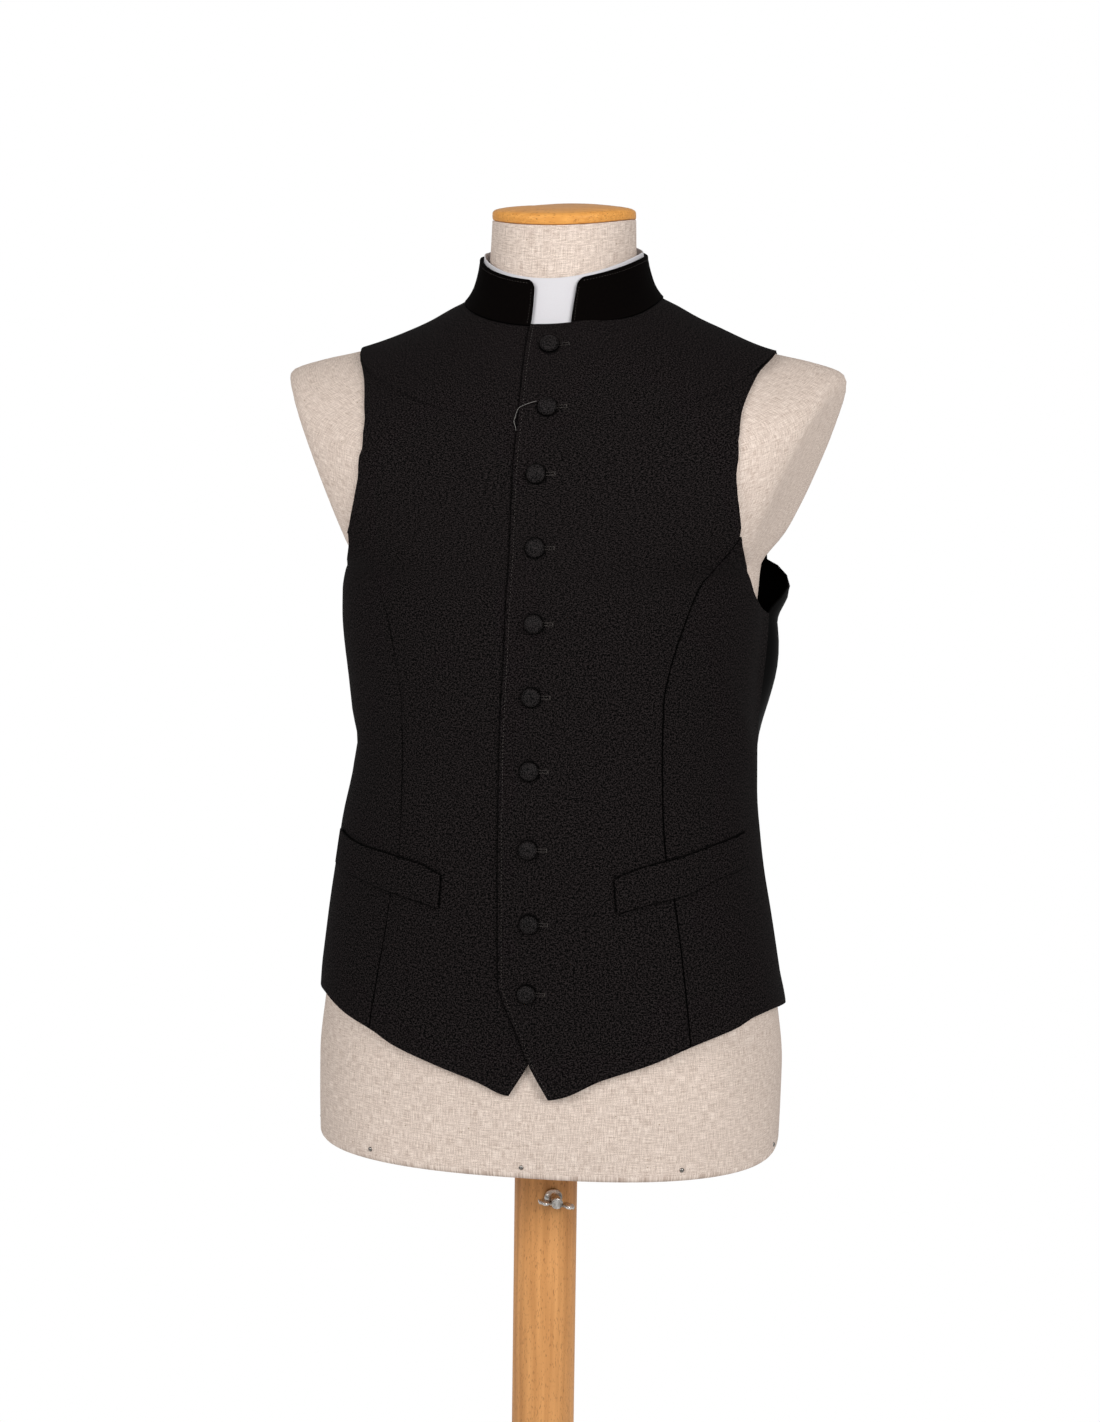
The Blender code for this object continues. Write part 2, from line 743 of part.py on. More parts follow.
def cut(part, cutter):
    """Takes the cutter's shape away from the part."""
    cutter.hide_render = True
    hole = part.modifiers.new(cutter.name, "BOOLEAN")
    hole.operation = "DIFFERENCE"
    hole.object = cutter


def plate_cutter(side):
    """The block that is cut off outside an arm plate."""
    shape = bmesh.new()
    bmesh.ops.create_cube(shape, size=1.0)
    for vert in shape.verts:
        y, z = CUT_MIDDLE_Y + vert.co.y * CUT_LENGTH, PLATE_LOW + (vert.co.z + 0.5) * CUT_HEIGHT
        plate = PLATE_OUT[side] + PLATE_LEAN[side] * (z - PLATE_HEIGHT) + PLATE_TOE * y
        vert.co = to_world(Vector((side * (plate + (vert.co.x + 0.5) * CUT_DEPTH), y, z)))
    return new_part(f"plate_cutter_{'left' if side > 0 else 'right'}", shape, "linen")


def form_torso():
    """The limbless form, whole under the vest, with a socket for the rod and flat arm plates."""
    radius = BORE_DIAMETER / 2
    socket = ((0.0, SOCKET_DEPTH), (radius, SOCKET_DEPTH), (radius, 0.0))
    rim_angles = [math.radians(angle) for angle in (0, 30, 60)]
    rings = len(socket) + len(rim_angles) + len(SKIN_WAYS) + 1

    def place(turn, ring):
        if ring < len(socket):
            reach, height = socket[ring]
            return Vector((reach * math.sin(turn), -reach * math.cos(turn), height))
        ring -= len(socket)
        if ring < len(rim_angles):
            way = RIM_RADIUS * (1 - math.cos(rim_angles[ring]))
            inset = RIM_RADIUS * (1 - math.sin(rim_angles[ring]))
            inward = form_normal(turn, way) * inset
            return form_point(turn, way) - Vector((inward.x, inward.y, 0))
        ring -= len(rim_angles)
        if ring < len(SKIN_WAYS):
            return form_point(turn, SKIN_WAYS[ring])
        return neck_middle()

    torso = wrapped("form_torso", FORM_SIDES, rings, place, "linen")
    for side in (1, -1):
        cut(torso, plate_cutter(side))
    return torso


def neck_middle():
    """The middle of the neck's top."""
    return (form_point(0, SKIN_WAYS[-1]) + form_point(math.pi, SKIN_WAYS[-1])) / 2


def neck_cap():
    """The domed cap on the neck's top, tilted with it."""
    middle, top = neck_middle(), SKIN_WAYS[-1]
    lengthways = form_point(math.pi, top) - form_point(0, top)
    up = Vector((1, 0, 0)).cross(lengthways).normalized()

    def place(turn, ring):
        if ring == 0:
            return middle + up * CAP_RINGS[0][1]
        if ring > len(CAP_RINGS):
            return middle + up * CAP_RISE
        inset, rise = CAP_RINGS[ring - 1]
        outward = form_point(turn, top) - middle
        return middle + outward * (1 - inset / outward.length) + up * rise

    return wrapped("neck_cap", FORM_SIDES, len(CAP_RINGS) + 2, place, "varnished beech")


def screw_frame():
    """The wing screw's frame: its Z runs out of the pole along the screw."""
    across = Matrix.Rotation(SCREW_TURN, 4, "Z") @ Matrix.Rotation(QUARTER, 4, "X")
    return Matrix.Translation((0, 0, BUST_BOTTOM - SCREW_DROP)) @ across


def wing_screw():
    """The screw that clamps the rod, with its flange, hub and two wings."""
    pole, bore = POLE_DIAMETER / 2, ROD_DIAMETER / 2
    shank, flange, hub = SHANK_DIAMETER / 2, FLANGE_DIAMETER / 2, HUB_DIAMETER / 2
    seat = pole + GAP
    head = seat + FLANGE_THICKNESS
    end = head + HUB_LENGTH
    profile = (
        (0, bore + SHANK_END), (shank, bore + SHANK_END), (shank, seat), (flange, seat),
        (flange, head - FLANGE_EDGE), (hub + HUB_FILLET, head), (hub, head + HUB_FILLET),
        (hub, end - HUB_EDGE), (hub - HUB_EDGE, end), (0, end),
    )  # fmt: skip
    frame = screw_frame() @ Matrix.Rotation(-WING_TILT, 4, "Z")
    screw = turned("wing_screw", SCREW_SIDES, profile, "steel", frame)
    shape = bmesh.new()
    bmesh.ops.create_cube(shape, size=1.0)
    bmesh.ops.scale(shape, vec=(WING_SPAN, WING_THICKNESS, WING_LENGTH), verts=shape.verts)
    bmesh.ops.bevel(
        shape, geom=shape.edges[:], offset=WING_EDGE, segments=2, affect="EDGES", profile=0.5, material=-1
    )
    bmesh.ops.translate(shape, vec=(0, 0, end - WING_LENGTH / 2 - WING_INSET), verts=shape.verts)
    bmesh.ops.transform(shape, matrix=Matrix.Scale(MM, 4) @ frame, verts=shape.verts)
    wings = new_part("wings", shape, "steel")
    wings.hide_render = True
    joined = screw.modifiers.new("wings", "BOOLEAN")
    joined.operation = "UNION"
    joined.object = wings
    return screw


def stand():
    """The rod in the bore of the pole, on the round foot."""
    foot = FOOT_DIAMETER / 2
    foot_profile = [(0, 0), (foot - FOOT_LOW_EDGE, 0), (foot, FOOT_LOW_EDGE)]
    for angle in spread(QUARTER, 0.0, 3):
        edge = FOOT_EDGE * (1 - math.sin(angle)), FOOT_EDGE * (1 - math.cos(angle))
        foot_profile.append((foot - edge[0], FOOT_THICKNESS - edge[1]))
    foot_profile.append((0, FOOT_THICKNESS))
    turned("foot", FOOT_SIDES, foot_profile, "beech")
    pole, bore, top = POLE_DIAMETER / 2, BORE_DIAMETER / 2, BUST_BOTTOM - GAP
    pole_profile = (
        (0, top - BORE_DEPTH), (bore, top - BORE_DEPTH), (bore, top), (pole - POLE_EDGE, top),
        (pole, top - POLE_EDGE), (pole, FOOT_THICKNESS + GAP), (0, FOOT_THICKNESS + GAP),
    )  # fmt: skip
    pole_part = turned("pole", TURNED_SIDES, pole_profile, "beech")
    hole = SHANK_HOLE / 2
    hole_profile = ((0, bore / 2), (hole, bore / 2), (hole, pole * 1.2), (0, pole * 1.2))
    cut(pole_part, turned("screw_hole", TURNED_SIDES, hole_profile, "beech", screw_frame()))
    rod, rod_top = ROD_DIAMETER / 2, BUST_BOTTOM + SOCKET_DEPTH - GAP
    rod_profile = (
        (0, rod_top), (rod - ROD_EDGE, rod_top), (rod, rod_top - ROD_EDGE),
        (rod, rod_top - ROD_LENGTH), (0, rod_top - ROD_LENGTH),
    )  # fmt: skip
    turned("rod", TURNED_SIDES, rod_profile, "steel")


for old in list(bpy.data.objects):
    bpy.data.objects.remove(old)

for side, word in ((1, "left"), (-1, "right")):
    front_centre(side, f"front_{word}_centre")
    front_side(side, f"front_{word}_side")
    back(side, f"back_{word}")
    welt(side, f"welt_{word}")
collar_band()
white_collar()
for number, (x, way) in enumerate(BUTTONS, 1):
    button(number, x, way)
form_torso()
neck_cap()
stand()
wing_screw()
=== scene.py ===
"""The look of a clergy vest on a linen dress form that stands on a beech pole and foot.

Metres, +Z up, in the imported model's frame. Tables are in millimetres, and the heights of the form and
the vest are counted from the form's lower rim. A place on them is a turn, the angle round the body
from the centre front towards the wearer's left, and a way, the distance up the side.
"""

import bisect
import math

import bmesh
import bpy
from mathutils import Matrix, Vector, noise


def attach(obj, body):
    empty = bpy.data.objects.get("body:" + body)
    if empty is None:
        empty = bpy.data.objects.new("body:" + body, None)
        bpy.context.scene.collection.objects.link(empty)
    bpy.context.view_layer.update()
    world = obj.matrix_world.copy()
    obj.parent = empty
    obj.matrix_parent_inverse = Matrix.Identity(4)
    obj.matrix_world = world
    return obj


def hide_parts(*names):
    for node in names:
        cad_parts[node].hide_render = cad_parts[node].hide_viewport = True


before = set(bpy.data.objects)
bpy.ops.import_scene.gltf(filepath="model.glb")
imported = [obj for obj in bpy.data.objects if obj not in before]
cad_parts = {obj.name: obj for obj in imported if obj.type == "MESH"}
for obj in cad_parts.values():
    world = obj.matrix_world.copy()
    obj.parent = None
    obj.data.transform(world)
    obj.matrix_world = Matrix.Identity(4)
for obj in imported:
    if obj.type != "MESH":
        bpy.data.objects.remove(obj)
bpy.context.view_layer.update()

# THE DRESS FORM'S BODY
# A hard moulded shell without limbs, with flat slanting arm plates and a flat bottom with a socket for
# the rod. Natural linen is stretched over it, glued down, and nailed round the lower rim.
MM = 0.001
QUARTER = math.pi / 2
FULL_TURN = 2 * math.pi
BUST_BOTTOM = 620.0
FORM_RINGS = (
    # way, side z, front z, back z, half width, side y, front y, back y, squareness
    (0, 0, 0, 0, 195.5, 13.5, -120.5, 147, 2.5),
    (35, 35, 35, 35, 196.5, 14, -121, 148, 2.45),
    (70, 70, 70, 70, 197.0, 15, -120.5, 148, 2.4),
    (120, 120, 120, 120, 192.0, 14, -121, 143, 2.35),
    (165, 165, 165, 165, 186.0, 11, -123, 136, 2.25),
    (215, 215, 215, 215, 178.0, 8, -125, 126, 2.2),
    (270, 270, 270, 270, 166.0, 5, -126, 112, 2.2),
    (330, 330, 330, 330, 153.0, 4, -123, 100, 2.2),
    (390, 390, 388, 392, 158.0, 4, -126, 105, 2.2),
    (440, 440, 436, 446, 166.0, 5, -129.5, 114, 2.2),
    (465, 465, 458, 476, 168.5, 6, -131, 119, 2.2),
    (490, 490, 476, 503, 170.5, 9, -131.5, 123, 2.15),
    (520, 520, 493, 527, 198.0, 13, -131.5, 127, 2.1),
    (560, 560, 514, 554, 222.0, 18, -130.5, 128, 2.05),
    (600, 600, 534, 580, 237.0, 22, -128.5, 126, 2.0),
    (630, 629, 551, 602, 240.0, 25, -126, 123, 2.0),
    (648, 646, 562, 618, 233.0, 27, -124.5, 120, 2.0),
    (675, 656, 579, 636, 206.0, 30, -121, 116, 2.0),
    (704, 662.5, 597, 655, 177.0, 32, -116, 111, 2.0),
    (743, 673, 624, 681, 140.0, 33, -106.5, 104, 2.0),
    (773, 684, 645, 699, 112.0, 32, -96, 97, 2.0),
    (795, 694.5, 661, 712, 92.0, 30, -85.5, 92, 2.0),
    (813, 703, 676, 722, 76.0, 29, -72, 89, 2.0),
    (831, 718, 694, 737, 66.0, 28, -59, 87, 2.0),
    (855, 741, 719, 756, 60.5, 28, -46, 87, 2.0),
    (881, 770.8, 760.8, 780.8, 59.5, 28, -31, 87, 2.0),
)
RING_DIP = 1.4
NECK_TOP = 881.0
PLATE_OUT = {1: 193.0, -1: 185.5}
PLATE_HEIGHT = 541.0
PLATE_LEAN = {1: 0.4, -1: 0.43}
PLATE_TOE = 0.16
PLATE_LOW = 499.0
PLATE_FADE = 1.4
PLATE_ROUNDING = 2.2
RIM_RADIUS = 5.0
RIM_STEPS = 6
SOCKET_RADIUS = 13.2
SOCKET_DEPTH = 60.0
FORM_SIDES = 180
FORM_STEP = 6.0
SMALL_TURN = 0.02
SMALL_WAY = 2.0
# How far one radian reaches round the body and the neck, for laying a weave over them, and the way from
# which the neck's holds; the vest hides the change
BODY_REACH = 165.0
NECK_REACH = 70.0
NECK_FROM = 770.0


class Curves:
    """Smooth curves through the columns of a table against its first one, with no overshoot."""

    def __init__(self, rows):
        self.places = [row[0] for row in rows]
        self.columns = list(zip(*rows))[1:]
        self.slopes = [self.gentle_slopes(column) for column in self.columns]

    def gentle_slopes(self, column):
        steps = [(b - a) / (q - p) for a, b, p, q in zip(column, column[1:], self.places, self.places[1:])]
        between = [2 * a * b / (a + b) if a * b > 0 else 0.0 for a, b in zip(steps, steps[1:])]
        return [steps[0], *between, steps[-1]]

    def at(self, place):
        index = min(max(bisect.bisect_right(self.places, place), 1), len(self.places) - 1)
        start, end = self.places[index - 1], self.places[index]
        span = end - start
        s = min(max((place - start) / span, 0.0), 1.0)
        rise, lead, tail = s * s * (3 - 2 * s), s * (1 - s) ** 2 * span, s * s * (s - 1) * span
        values = []
        for column, slope in zip(self.columns, self.slopes):
            level = column[index - 1] * (1 - rise) + column[index] * rise
            values.append(level + slope[index - 1] * lead + slope[index] * tail)
        return values


FORM = Curves(FORM_RINGS)


def form_point(turn, way):
    """A point of the form's skin, in millimetres, before its arms are cut off at the plates."""
    side_z, front_z, back_z, half_width, side_y, front_y, back_y, squareness = FORM.at(way)
    across, ahead = math.sin(turn), math.cos(turn)
    size = (abs(across) ** squareness + abs(ahead) ** squareness) ** (-1 / squareness)
    end_y, end_z = (front_y, front_z) if ahead > 0 else (back_y, back_z)
    share = size * abs(ahead)
    z = side_z + (end_z - side_z) * share**RING_DIP
    return Vector((half_width * across * size, side_y + (end_y - side_y) * share, z))


def ring_step(turn, way):
    """A short step along the form's ring, which goes round from the front to the wearer's left."""
    return form_point(turn + SMALL_TURN, way) - form_point(turn - SMALL_TURN, way)


def form_normal(turn, way):
    """The direction straight out of the form's skin."""
    up = form_point(turn, way + SMALL_WAY) - form_point(turn, way - SMALL_WAY)
    return ring_step(turn, way).cross(up).normalized()


def skin_point(turn, way):
    """A point of the finished skin: what lies outside an arm plate is pressed flat onto it."""
    point = form_point(turn, way)
    side = 1 if point.x > 0 else -1
    plate = PLATE_OUT[side] + PLATE_LEAN[side] * (point.z - PLATE_HEIGHT) + PLATE_TOE * point.y
    plate += PLATE_FADE * max(PLATE_LOW - point.z, 0.0)
    over = (side * point.x - plate) / PLATE_ROUNDING
    pressed = max(over, 0.0) + math.log1p(math.exp(-abs(over)))
    point.x -= side * PLATE_ROUNDING * pressed
    return point


def to_world(point):
    """From millimetres above the form's lower rim to metres above the floor."""
    return (point + Vector((0, 0, BUST_BOTTOM))) * MM


def spread(start, end, steps):
    """The values from start to end, both included, in equal steps."""
    return [start + (end - start) * index / steps for index in range(steps + 1)]


def bent_grid(columns, rows, place, flat, wall=False):
    """A grid, or a wall of two grids, bent to place(column, row, face), with a map to the flat cloth."""
    shape = bmesh.new()
    bmesh.ops.create_grid(shape, x_segments=columns, y_segments=rows, size=0.5)
    if wall:
        outer = bmesh.ops.extrude_face_region(shape, geom=shape.faces[:])["geom"]
        bmesh.ops.translate(shape, vec=(0, 0, 1), verts=[item for item in outer if hasattr(item, "co")])
    flat_map = shape.loops.layers.uv.new("flat")
    numbers = {}
    for vert in shape.verts:
        column = round((vert.co.x + 0.5) * columns)
        row = round((vert.co.y + 0.5) * rows)
        numbers[vert] = column, row
        vert.co = place(column, row, round(vert.co.z))
    for face in shape.faces:
        for loop in face.loops:
            loop[flat_map].uv = flat(*numbers[loop.vert])
    return shape


def add_object(name, data):
    """Puts an object with its data into the scene."""
    item = bpy.data.objects.new(name, data)
    bpy.context.scene.collection.objects.link(item)
    return item


def finish_piece(name, shape, material, merge=0.01 * MM, sharp=50):
    """Makes a smooth-shaded object from a shape, with its seams closed and its faces outwards."""
    bmesh.ops.remove_doubles(shape, verts=shape.verts, dist=merge)
    bmesh.ops.recalc_face_normals(shape, faces=shape.faces)
    if shape.calc_volume(signed=True) < 0:
        bmesh.ops.reverse_faces(shape, faces=shape.faces)
    mesh = bpy.data.meshes.new(name)
    shape.to_mesh(mesh)
    shape.free()
    mesh.shade_smooth()
    mesh.set_sharp_from_angle(angle=math.radians(sharp))
    mesh.materials.append(material)
    return add_object(name, mesh)


def colour(code):
    """The linear colour of an sRGB hex code."""
    parts = [int(code[place:place + 2], 16) / 255 for place in (1, 3, 5)]
    return (*[part / 12.92 if part <= 0.04045 else ((part + 0.055) / 1.055) ** 2.4 for part in parts], 1.0)


def set_inputs(tree, node, inputs):
    """Sets inputs of a node, each to a value, to a colour's hex code or to the output of another node."""
    for name, value in inputs.items():
        if isinstance(value, bpy.types.NodeSocket):
            tree.links.new(value, node.inputs[name])
        else:
            node.inputs[name].default_value = colour(value) if isinstance(value, str) else value


def add_node(tree, kind, inputs, output=None, **settings):
    """Adds a node and gives one of its outputs: the one that is named, or else the first in use."""
    node = tree.nodes.new("ShaderNode" + kind)
    for name, value in settings.items():
        setattr(node, name, value)
    set_inputs(tree, node, inputs)
    return node.outputs[output] if output else next(item for item in node.outputs if item.enabled)


def new_material(name, cloth=False):
    """A material, its tree and surface, and the place that its pattern reads: on the flat cloth, or
    else in the room."""
    material = bpy.data.materials.new(name)
    material.use_nodes = True
    tree = material.node_tree
    if cloth:
        place = add_node(tree, "UVMap", {}, uv_map="flat")
    else:
        place = add_node(tree, "TexCoord", {}, "Object")
    return material, tree, tree.nodes["Principled BSDF"], place


def crossing_yarns(tree, place, yarn, even, fuzz, detail):
    """The height of a weave. Its yarns have a width and stay even over a length, in millimetres, and
    its fuzz has a number of hairs a millimetre."""
    across, along = 1 / MM / yarn, 1 / MM / even
    height = add_node(tree, "TexNoise", {"Vector": place, "Scale": fuzz / MM, "Detail": detail})
    for scale in ((across, along, 1), (along, across, 1)):
        lines = add_node(tree, "Mapping", {"Vector": place, "Scale": scale})
        yarns = add_node(tree, "TexNoise", {"Vector": lines, "Scale": 1.0, "Detail": detail})
        height = add_node(tree, "Math", {0: height, 1: yarns}, operation="ADD")
    return height


# Natural linen: a plain weave of uneven flax yarns, sized and stretched. It is matte, its thick and
# thin yarns show as short darker and lighter streaks both ways, and no thread shines.
# The yarns are 0.7 mm apart, and are drawn so.
LINEN_YARN = 0.7
LINEN_SLUB = 8.0
LINEN_FUZZ = 1.5
LINEN_SPECKS = 0.55
linen, tree, surface, flat_cloth = new_material("natural_linen", cloth=True)
weave = crossing_yarns(tree, flat_cloth, LINEN_YARN, LINEN_SLUB, LINEN_FUZZ, 0.0)
speck = add_node(tree, "TexNoise", {"Vector": flat_cloth, "Scale": LINEN_SPECKS / MM, "Detail": 0.0})
blotch = add_node(tree, "TexNoise", {"Vector": flat_cloth, "Scale": 9.0, "Detail": 2.0})
thick = add_node(tree, "MapRange", {"Value": weave, "From Min": 0.99, "From Max": 1.99})
tone = add_node(tree, "Mix", {0: thick, 6: "#B5A194", 7: "#ECDDD1"}, data_type="RGBA")
seeds = add_node(tree, "MapRange", {"Value": speck, "From Min": 0.82, "From Max": 0.88})
tone = add_node(tree, "Mix", {0: seeds, 6: tone, 7: "#9A8571"}, data_type="RGBA")
shade = add_node(tree, "MapRange", {"Value": blotch, "From Min": 0.3, "From Max": 0.7,
                                    "To Min": 0.96, "To Max": 1.04})
lit = add_node(tree, "Mix", {0: 1.0, 6: tone, 7: shade}, data_type="RGBA", blend_type="MULTIPLY")
relief = add_node(tree, "Bump", {"Height": weave, "Strength": 0.5, "Distance": 0.2 * MM})
set_inputs(tree, surface, {"Base Color": lit, "Normal": relief, "Roughness": 0.92,
                           "Specular IOR Level": 0.12})

socket_rings = [(0.0, SOCKET_DEPTH), (SOCKET_RADIUS, SOCKET_DEPTH), (SOCKET_RADIUS, 0.0)]
rim_angles = spread(0.0, QUARTER, RIM_STEPS)[:-1]
skin_ways = spread(RIM_RADIUS, NECK_TOP, round((NECK_TOP - RIM_RADIUS) / FORM_STEP))
neck_middle = (form_point(0, NECK_TOP) + form_point(math.pi, NECK_TOP)) / 2
form_ring_count = len(socket_rings) + len(rim_angles) + len(skin_ways) + 1


def form_ring(column, ring, face):
    """A point of the form, ring by ring from the socket's end over the rim to the neck's middle."""
    turn = FULL_TURN * column / FORM_SIDES
    if ring < len(socket_rings):
        reach, height = socket_rings[ring]
        return to_world(Vector((reach * math.sin(turn), -reach * math.cos(turn), height)))
    ring -= len(socket_rings)
    if ring < len(rim_angles):
        way = RIM_RADIUS * (1 - math.cos(rim_angles[ring]))
        inset = RIM_RADIUS * (1 - math.sin(rim_angles[ring]))
        inward = form_normal(turn, way) * inset
        return to_world(skin_point(turn, way) - Vector((inward.x, inward.y, 0)))
    ring -= len(rim_angles)
    return to_world(skin_point(turn, skin_ways[ring]) if ring < len(skin_ways) else neck_middle)


def form_flat(column, ring):
    """Where a point of the form lies on the flat linen, in metres."""
    way = skin_ways[min(max(ring - len(socket_rings) - len(rim_angles), 0), len(skin_ways) - 1)]
    reach = NECK_REACH if way > NECK_FROM else BODY_REACH
    return FULL_TURN * column / FORM_SIDES * reach * MM, way * MM


form_body = finish_piece(
    "form_body", bent_grid(FORM_SIDES, form_ring_count - 1, form_ring, form_flat), linen, sharp=60
)
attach(form_body, "bust")
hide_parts("form_torso")

# THE RIM NAILS
# Nine small round-headed steel nails hold the linen round the lower rim. Three show at the front.
NAIL_TURNS = (-78, -38.3, 0.1, 37.6, 78, 120, 160, 200, 240)
NAIL_WAY = 10.0
NAIL_DIAMETER = 4.0
NAIL_RISE = 1.3

# Nickel-plated steel, dulled by age to a dark grey, so each domed head still carries one small light.
nail_steel, tree, surface, place = new_material("nickel_plated_steel")
rub = add_node(tree, "TexNoise", {"Vector": place, "Scale": 700.0, "Detail": 2.0})
dull = add_node(tree, "MapRange", {"Value": rub, "To Min": 0.18, "To Max": 0.3})
metal = add_node(tree, "Mix", {0: rub, 6: "#5E5A56", 7: "#A5A19C"}, data_type="RGBA")
set_inputs(tree, surface, {"Base Color": metal, "Roughness": dull, "Metallic": 1.0})


def surface_frame(point, out, across):
    """A frame in metres at a point in millimetres: X across, Y up the cloth, Z straight out."""
    across = (across - out * across.dot(out)).normalized()
    axes = Matrix((across, out.cross(across), out)).transposed().to_4x4()
    return Matrix.Translation(to_world(point)) @ axes @ Matrix.Scale(MM, 4)


shape = bmesh.new()
for degrees in NAIL_TURNS:
    turn = math.radians(degrees)
    seat = surface_frame(form_point(turn, NAIL_WAY), form_normal(turn, NAIL_WAY), ring_step(turn, NAIL_WAY))
    dome = Matrix.Diagonal((NAIL_DIAMETER / 2, NAIL_DIAMETER / 2, NAIL_RISE, 1))
    bmesh.ops.create_uvsphere(shape, u_segments=16, v_segments=10, radius=1.0, matrix=seat @ dome)
rim_nails = finish_piece("rim_nails", shape, nail_steel)
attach(rim_nails, "bust")

# THE NECK CAP
# A shallow dome of beech, turned and sanded to the neck's oval and varnished. It closes the neck's top
# and tilts forward with it.
CAP_PROFILE = (
    # in from the neck's outline, up from the neck's top
    (1.2, 0.3), (0.5, 0.7), (0.1, 1.5), (0.0, 2.6), (0.0, 4.6), (0.1, 6.1), (0.6, 7.3), (1.5, 8.2),
    (3.0, 9.0), (6.0, 9.8), (12.0, 10.8), (20.0, 11.6), (30.0, 12.2),
)
CAP_RISE = 12.4
CAP_SIDES = 120

# Varnished beech: the wood's fine straight grain and short dark flecks lie under a smooth clear coat,
# which deepens the orange and carries soft highlights. The flecks are 0.4 mm wide, drawn 0.8 mm.
cap_wood, tree, surface, place = new_material("varnished_beech")
grain_lines = add_node(tree, "Mapping", {"Vector": place, "Scale": (28.0, 420.0, 420.0),
                                         "Rotation": (0.0, 0.0, 0.12)})
grain = add_node(tree, "TexNoise", {"Vector": grain_lines, "Scale": 1.0, "Detail": 4.0})
fleck_lines = add_node(tree, "Mapping", {"Vector": place, "Scale": (220.0, 1100.0, 1100.0)})
flecks = add_node(tree, "TexNoise", {"Vector": fleck_lines, "Scale": 1.0, "Detail": 1.0})
spots = add_node(tree, "MapRange", {"Value": flecks, "From Min": 0.62, "From Max": 0.74})
wood = add_node(tree, "Mix", {0: grain, 6: "#C88038", 7: "#F8B866"}, data_type="RGBA")
wood = add_node(tree, "Mix", {0: spots, 6: wood, 7: "#9C602C"}, data_type="RGBA")
set_inputs(tree, surface, {"Base Color": wood, "Roughness": 0.32, "Specular IOR Level": 0.05})

neck_length = form_point(math.pi, NECK_TOP) - form_point(0, NECK_TOP)
cap_up = Vector((1, 0, 0)).cross(neck_length).normalized()


def cap_ring(column, ring, face):
    """A point of the cap, from the middle of its flat underside over its edge to its top."""
    if ring == 0:
        return to_world(neck_middle + cap_up * CAP_PROFILE[0][1])
    if ring > len(CAP_PROFILE):
        return to_world(neck_middle + cap_up * CAP_RISE)
    inset, rise = CAP_PROFILE[ring - 1]
    outward = form_point(FULL_TURN * column / CAP_SIDES, NECK_TOP) - neck_middle
    return to_world(neck_middle + outward * (1 - inset / outward.length) + cap_up * rise)


shape = bent_grid(CAP_SIDES, len(CAP_PROFILE) + 1, cap_ring, lambda column, ring: (0, 0))
cap = finish_piece("turned_neck_cap", shape, cap_wood)
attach(cap, "bust")
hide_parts("neck_cap")

# THE FOOT, THE POLE AND THE ROD
# A round beech foot with a softened edge, a beech pole turned from one length and bored for the rod,
# and a drawn steel rod that carries the form and slides in the pole.
FOOT_RADIUS = 190.0
FOOT_THICKNESS = 30.0
FOOT_EDGE = 6.0
FOOT_LOW_EDGE = 2.0
FOOT_SIDES = 160
POLE_RADIUS = 26.75
POLE_EDGE = 1.5
POLE_SIDES = 96
BORE_RADIUS = 13.2
BORE_DEPTH = 430.0
ROD_RADIUS = 12.5
ROD_EDGE = 1.0
ROD_LENGTH = 400.0
ROD_SIDES = 64
GAP = 0.3


def beech_wood(name, lean):
    """Oiled beech: straight grain with wide soft growth lines, and the short dark flecks that tell beech
    from other woods, 0.4 mm wide, drawn 0.8 mm. The oil leaves a low sheen. The grain runs up the
    piece, leaned over by an angle."""
    material, tree, surface, place = new_material(name)
    place = add_node(tree, "Mapping", {"Vector": place, "Rotation": (0.0, lean, 0.0)})
    long_lines = add_node(tree, "Mapping", {"Vector": place, "Scale": (260.0, 260.0, 9.0)})
    grain = add_node(tree, "TexNoise", {"Vector": long_lines, "Scale": 1.0, "Detail": 4.0})
    ring_lines = add_node(tree, "Mapping", {"Vector": place, "Scale": (1.0, 1.0, 0.09),
                                            "Rotation": (0.0, 0.0, 0.5)})
    rings = add_node(tree, "TexWave", {"Vector": ring_lines, "Scale": 34.0, "Distortion": 5.0,
                                       "Detail": 2.0, "Detail Scale": 1.4}, "Fac")
    fleck_lines = add_node(tree, "Mapping", {"Vector": place, "Scale": (1150.0, 1150.0, 260.0)})
    flecks = add_node(tree, "TexNoise", {"Vector": fleck_lines, "Scale": 1.0, "Detail": 1.0})
    spots = add_node(tree, "MapRange", {"Value": flecks, "From Min": 0.6, "From Max": 0.72, "To Max": 0.6})
    bands = add_node(tree, "MapRange", {"Value": rings, "To Min": -0.1, "To Max": 0.14})
    light_wood = add_node(tree, "Math", {0: grain, 1: bands}, operation="ADD")
    wood = add_node(tree, "Mix", {0: light_wood, 6: "#B0753E", 7: "#E9AB6A"}, data_type="RGBA")
    wood = add_node(tree, "Mix", {0: spots, 6: wood, 7: "#8A562C"}, data_type="RGBA")
    relief = add_node(tree, "Bump", {"Height": grain, "Strength": 0.2, "Distance": 0.1 * MM})
    set_inputs(tree, surface, {"Base Color": wood, "Normal": relief, "Roughness": 0.5,
                               "Specular IOR Level": 0.35})
    return material


# The pole's grain runs up its length. The foot is cut from a board that lies across the vest.
pole_beech = beech_wood("oiled_beech", 0.0)
board_beech = beech_wood("oiled_beech_board", QUARTER)

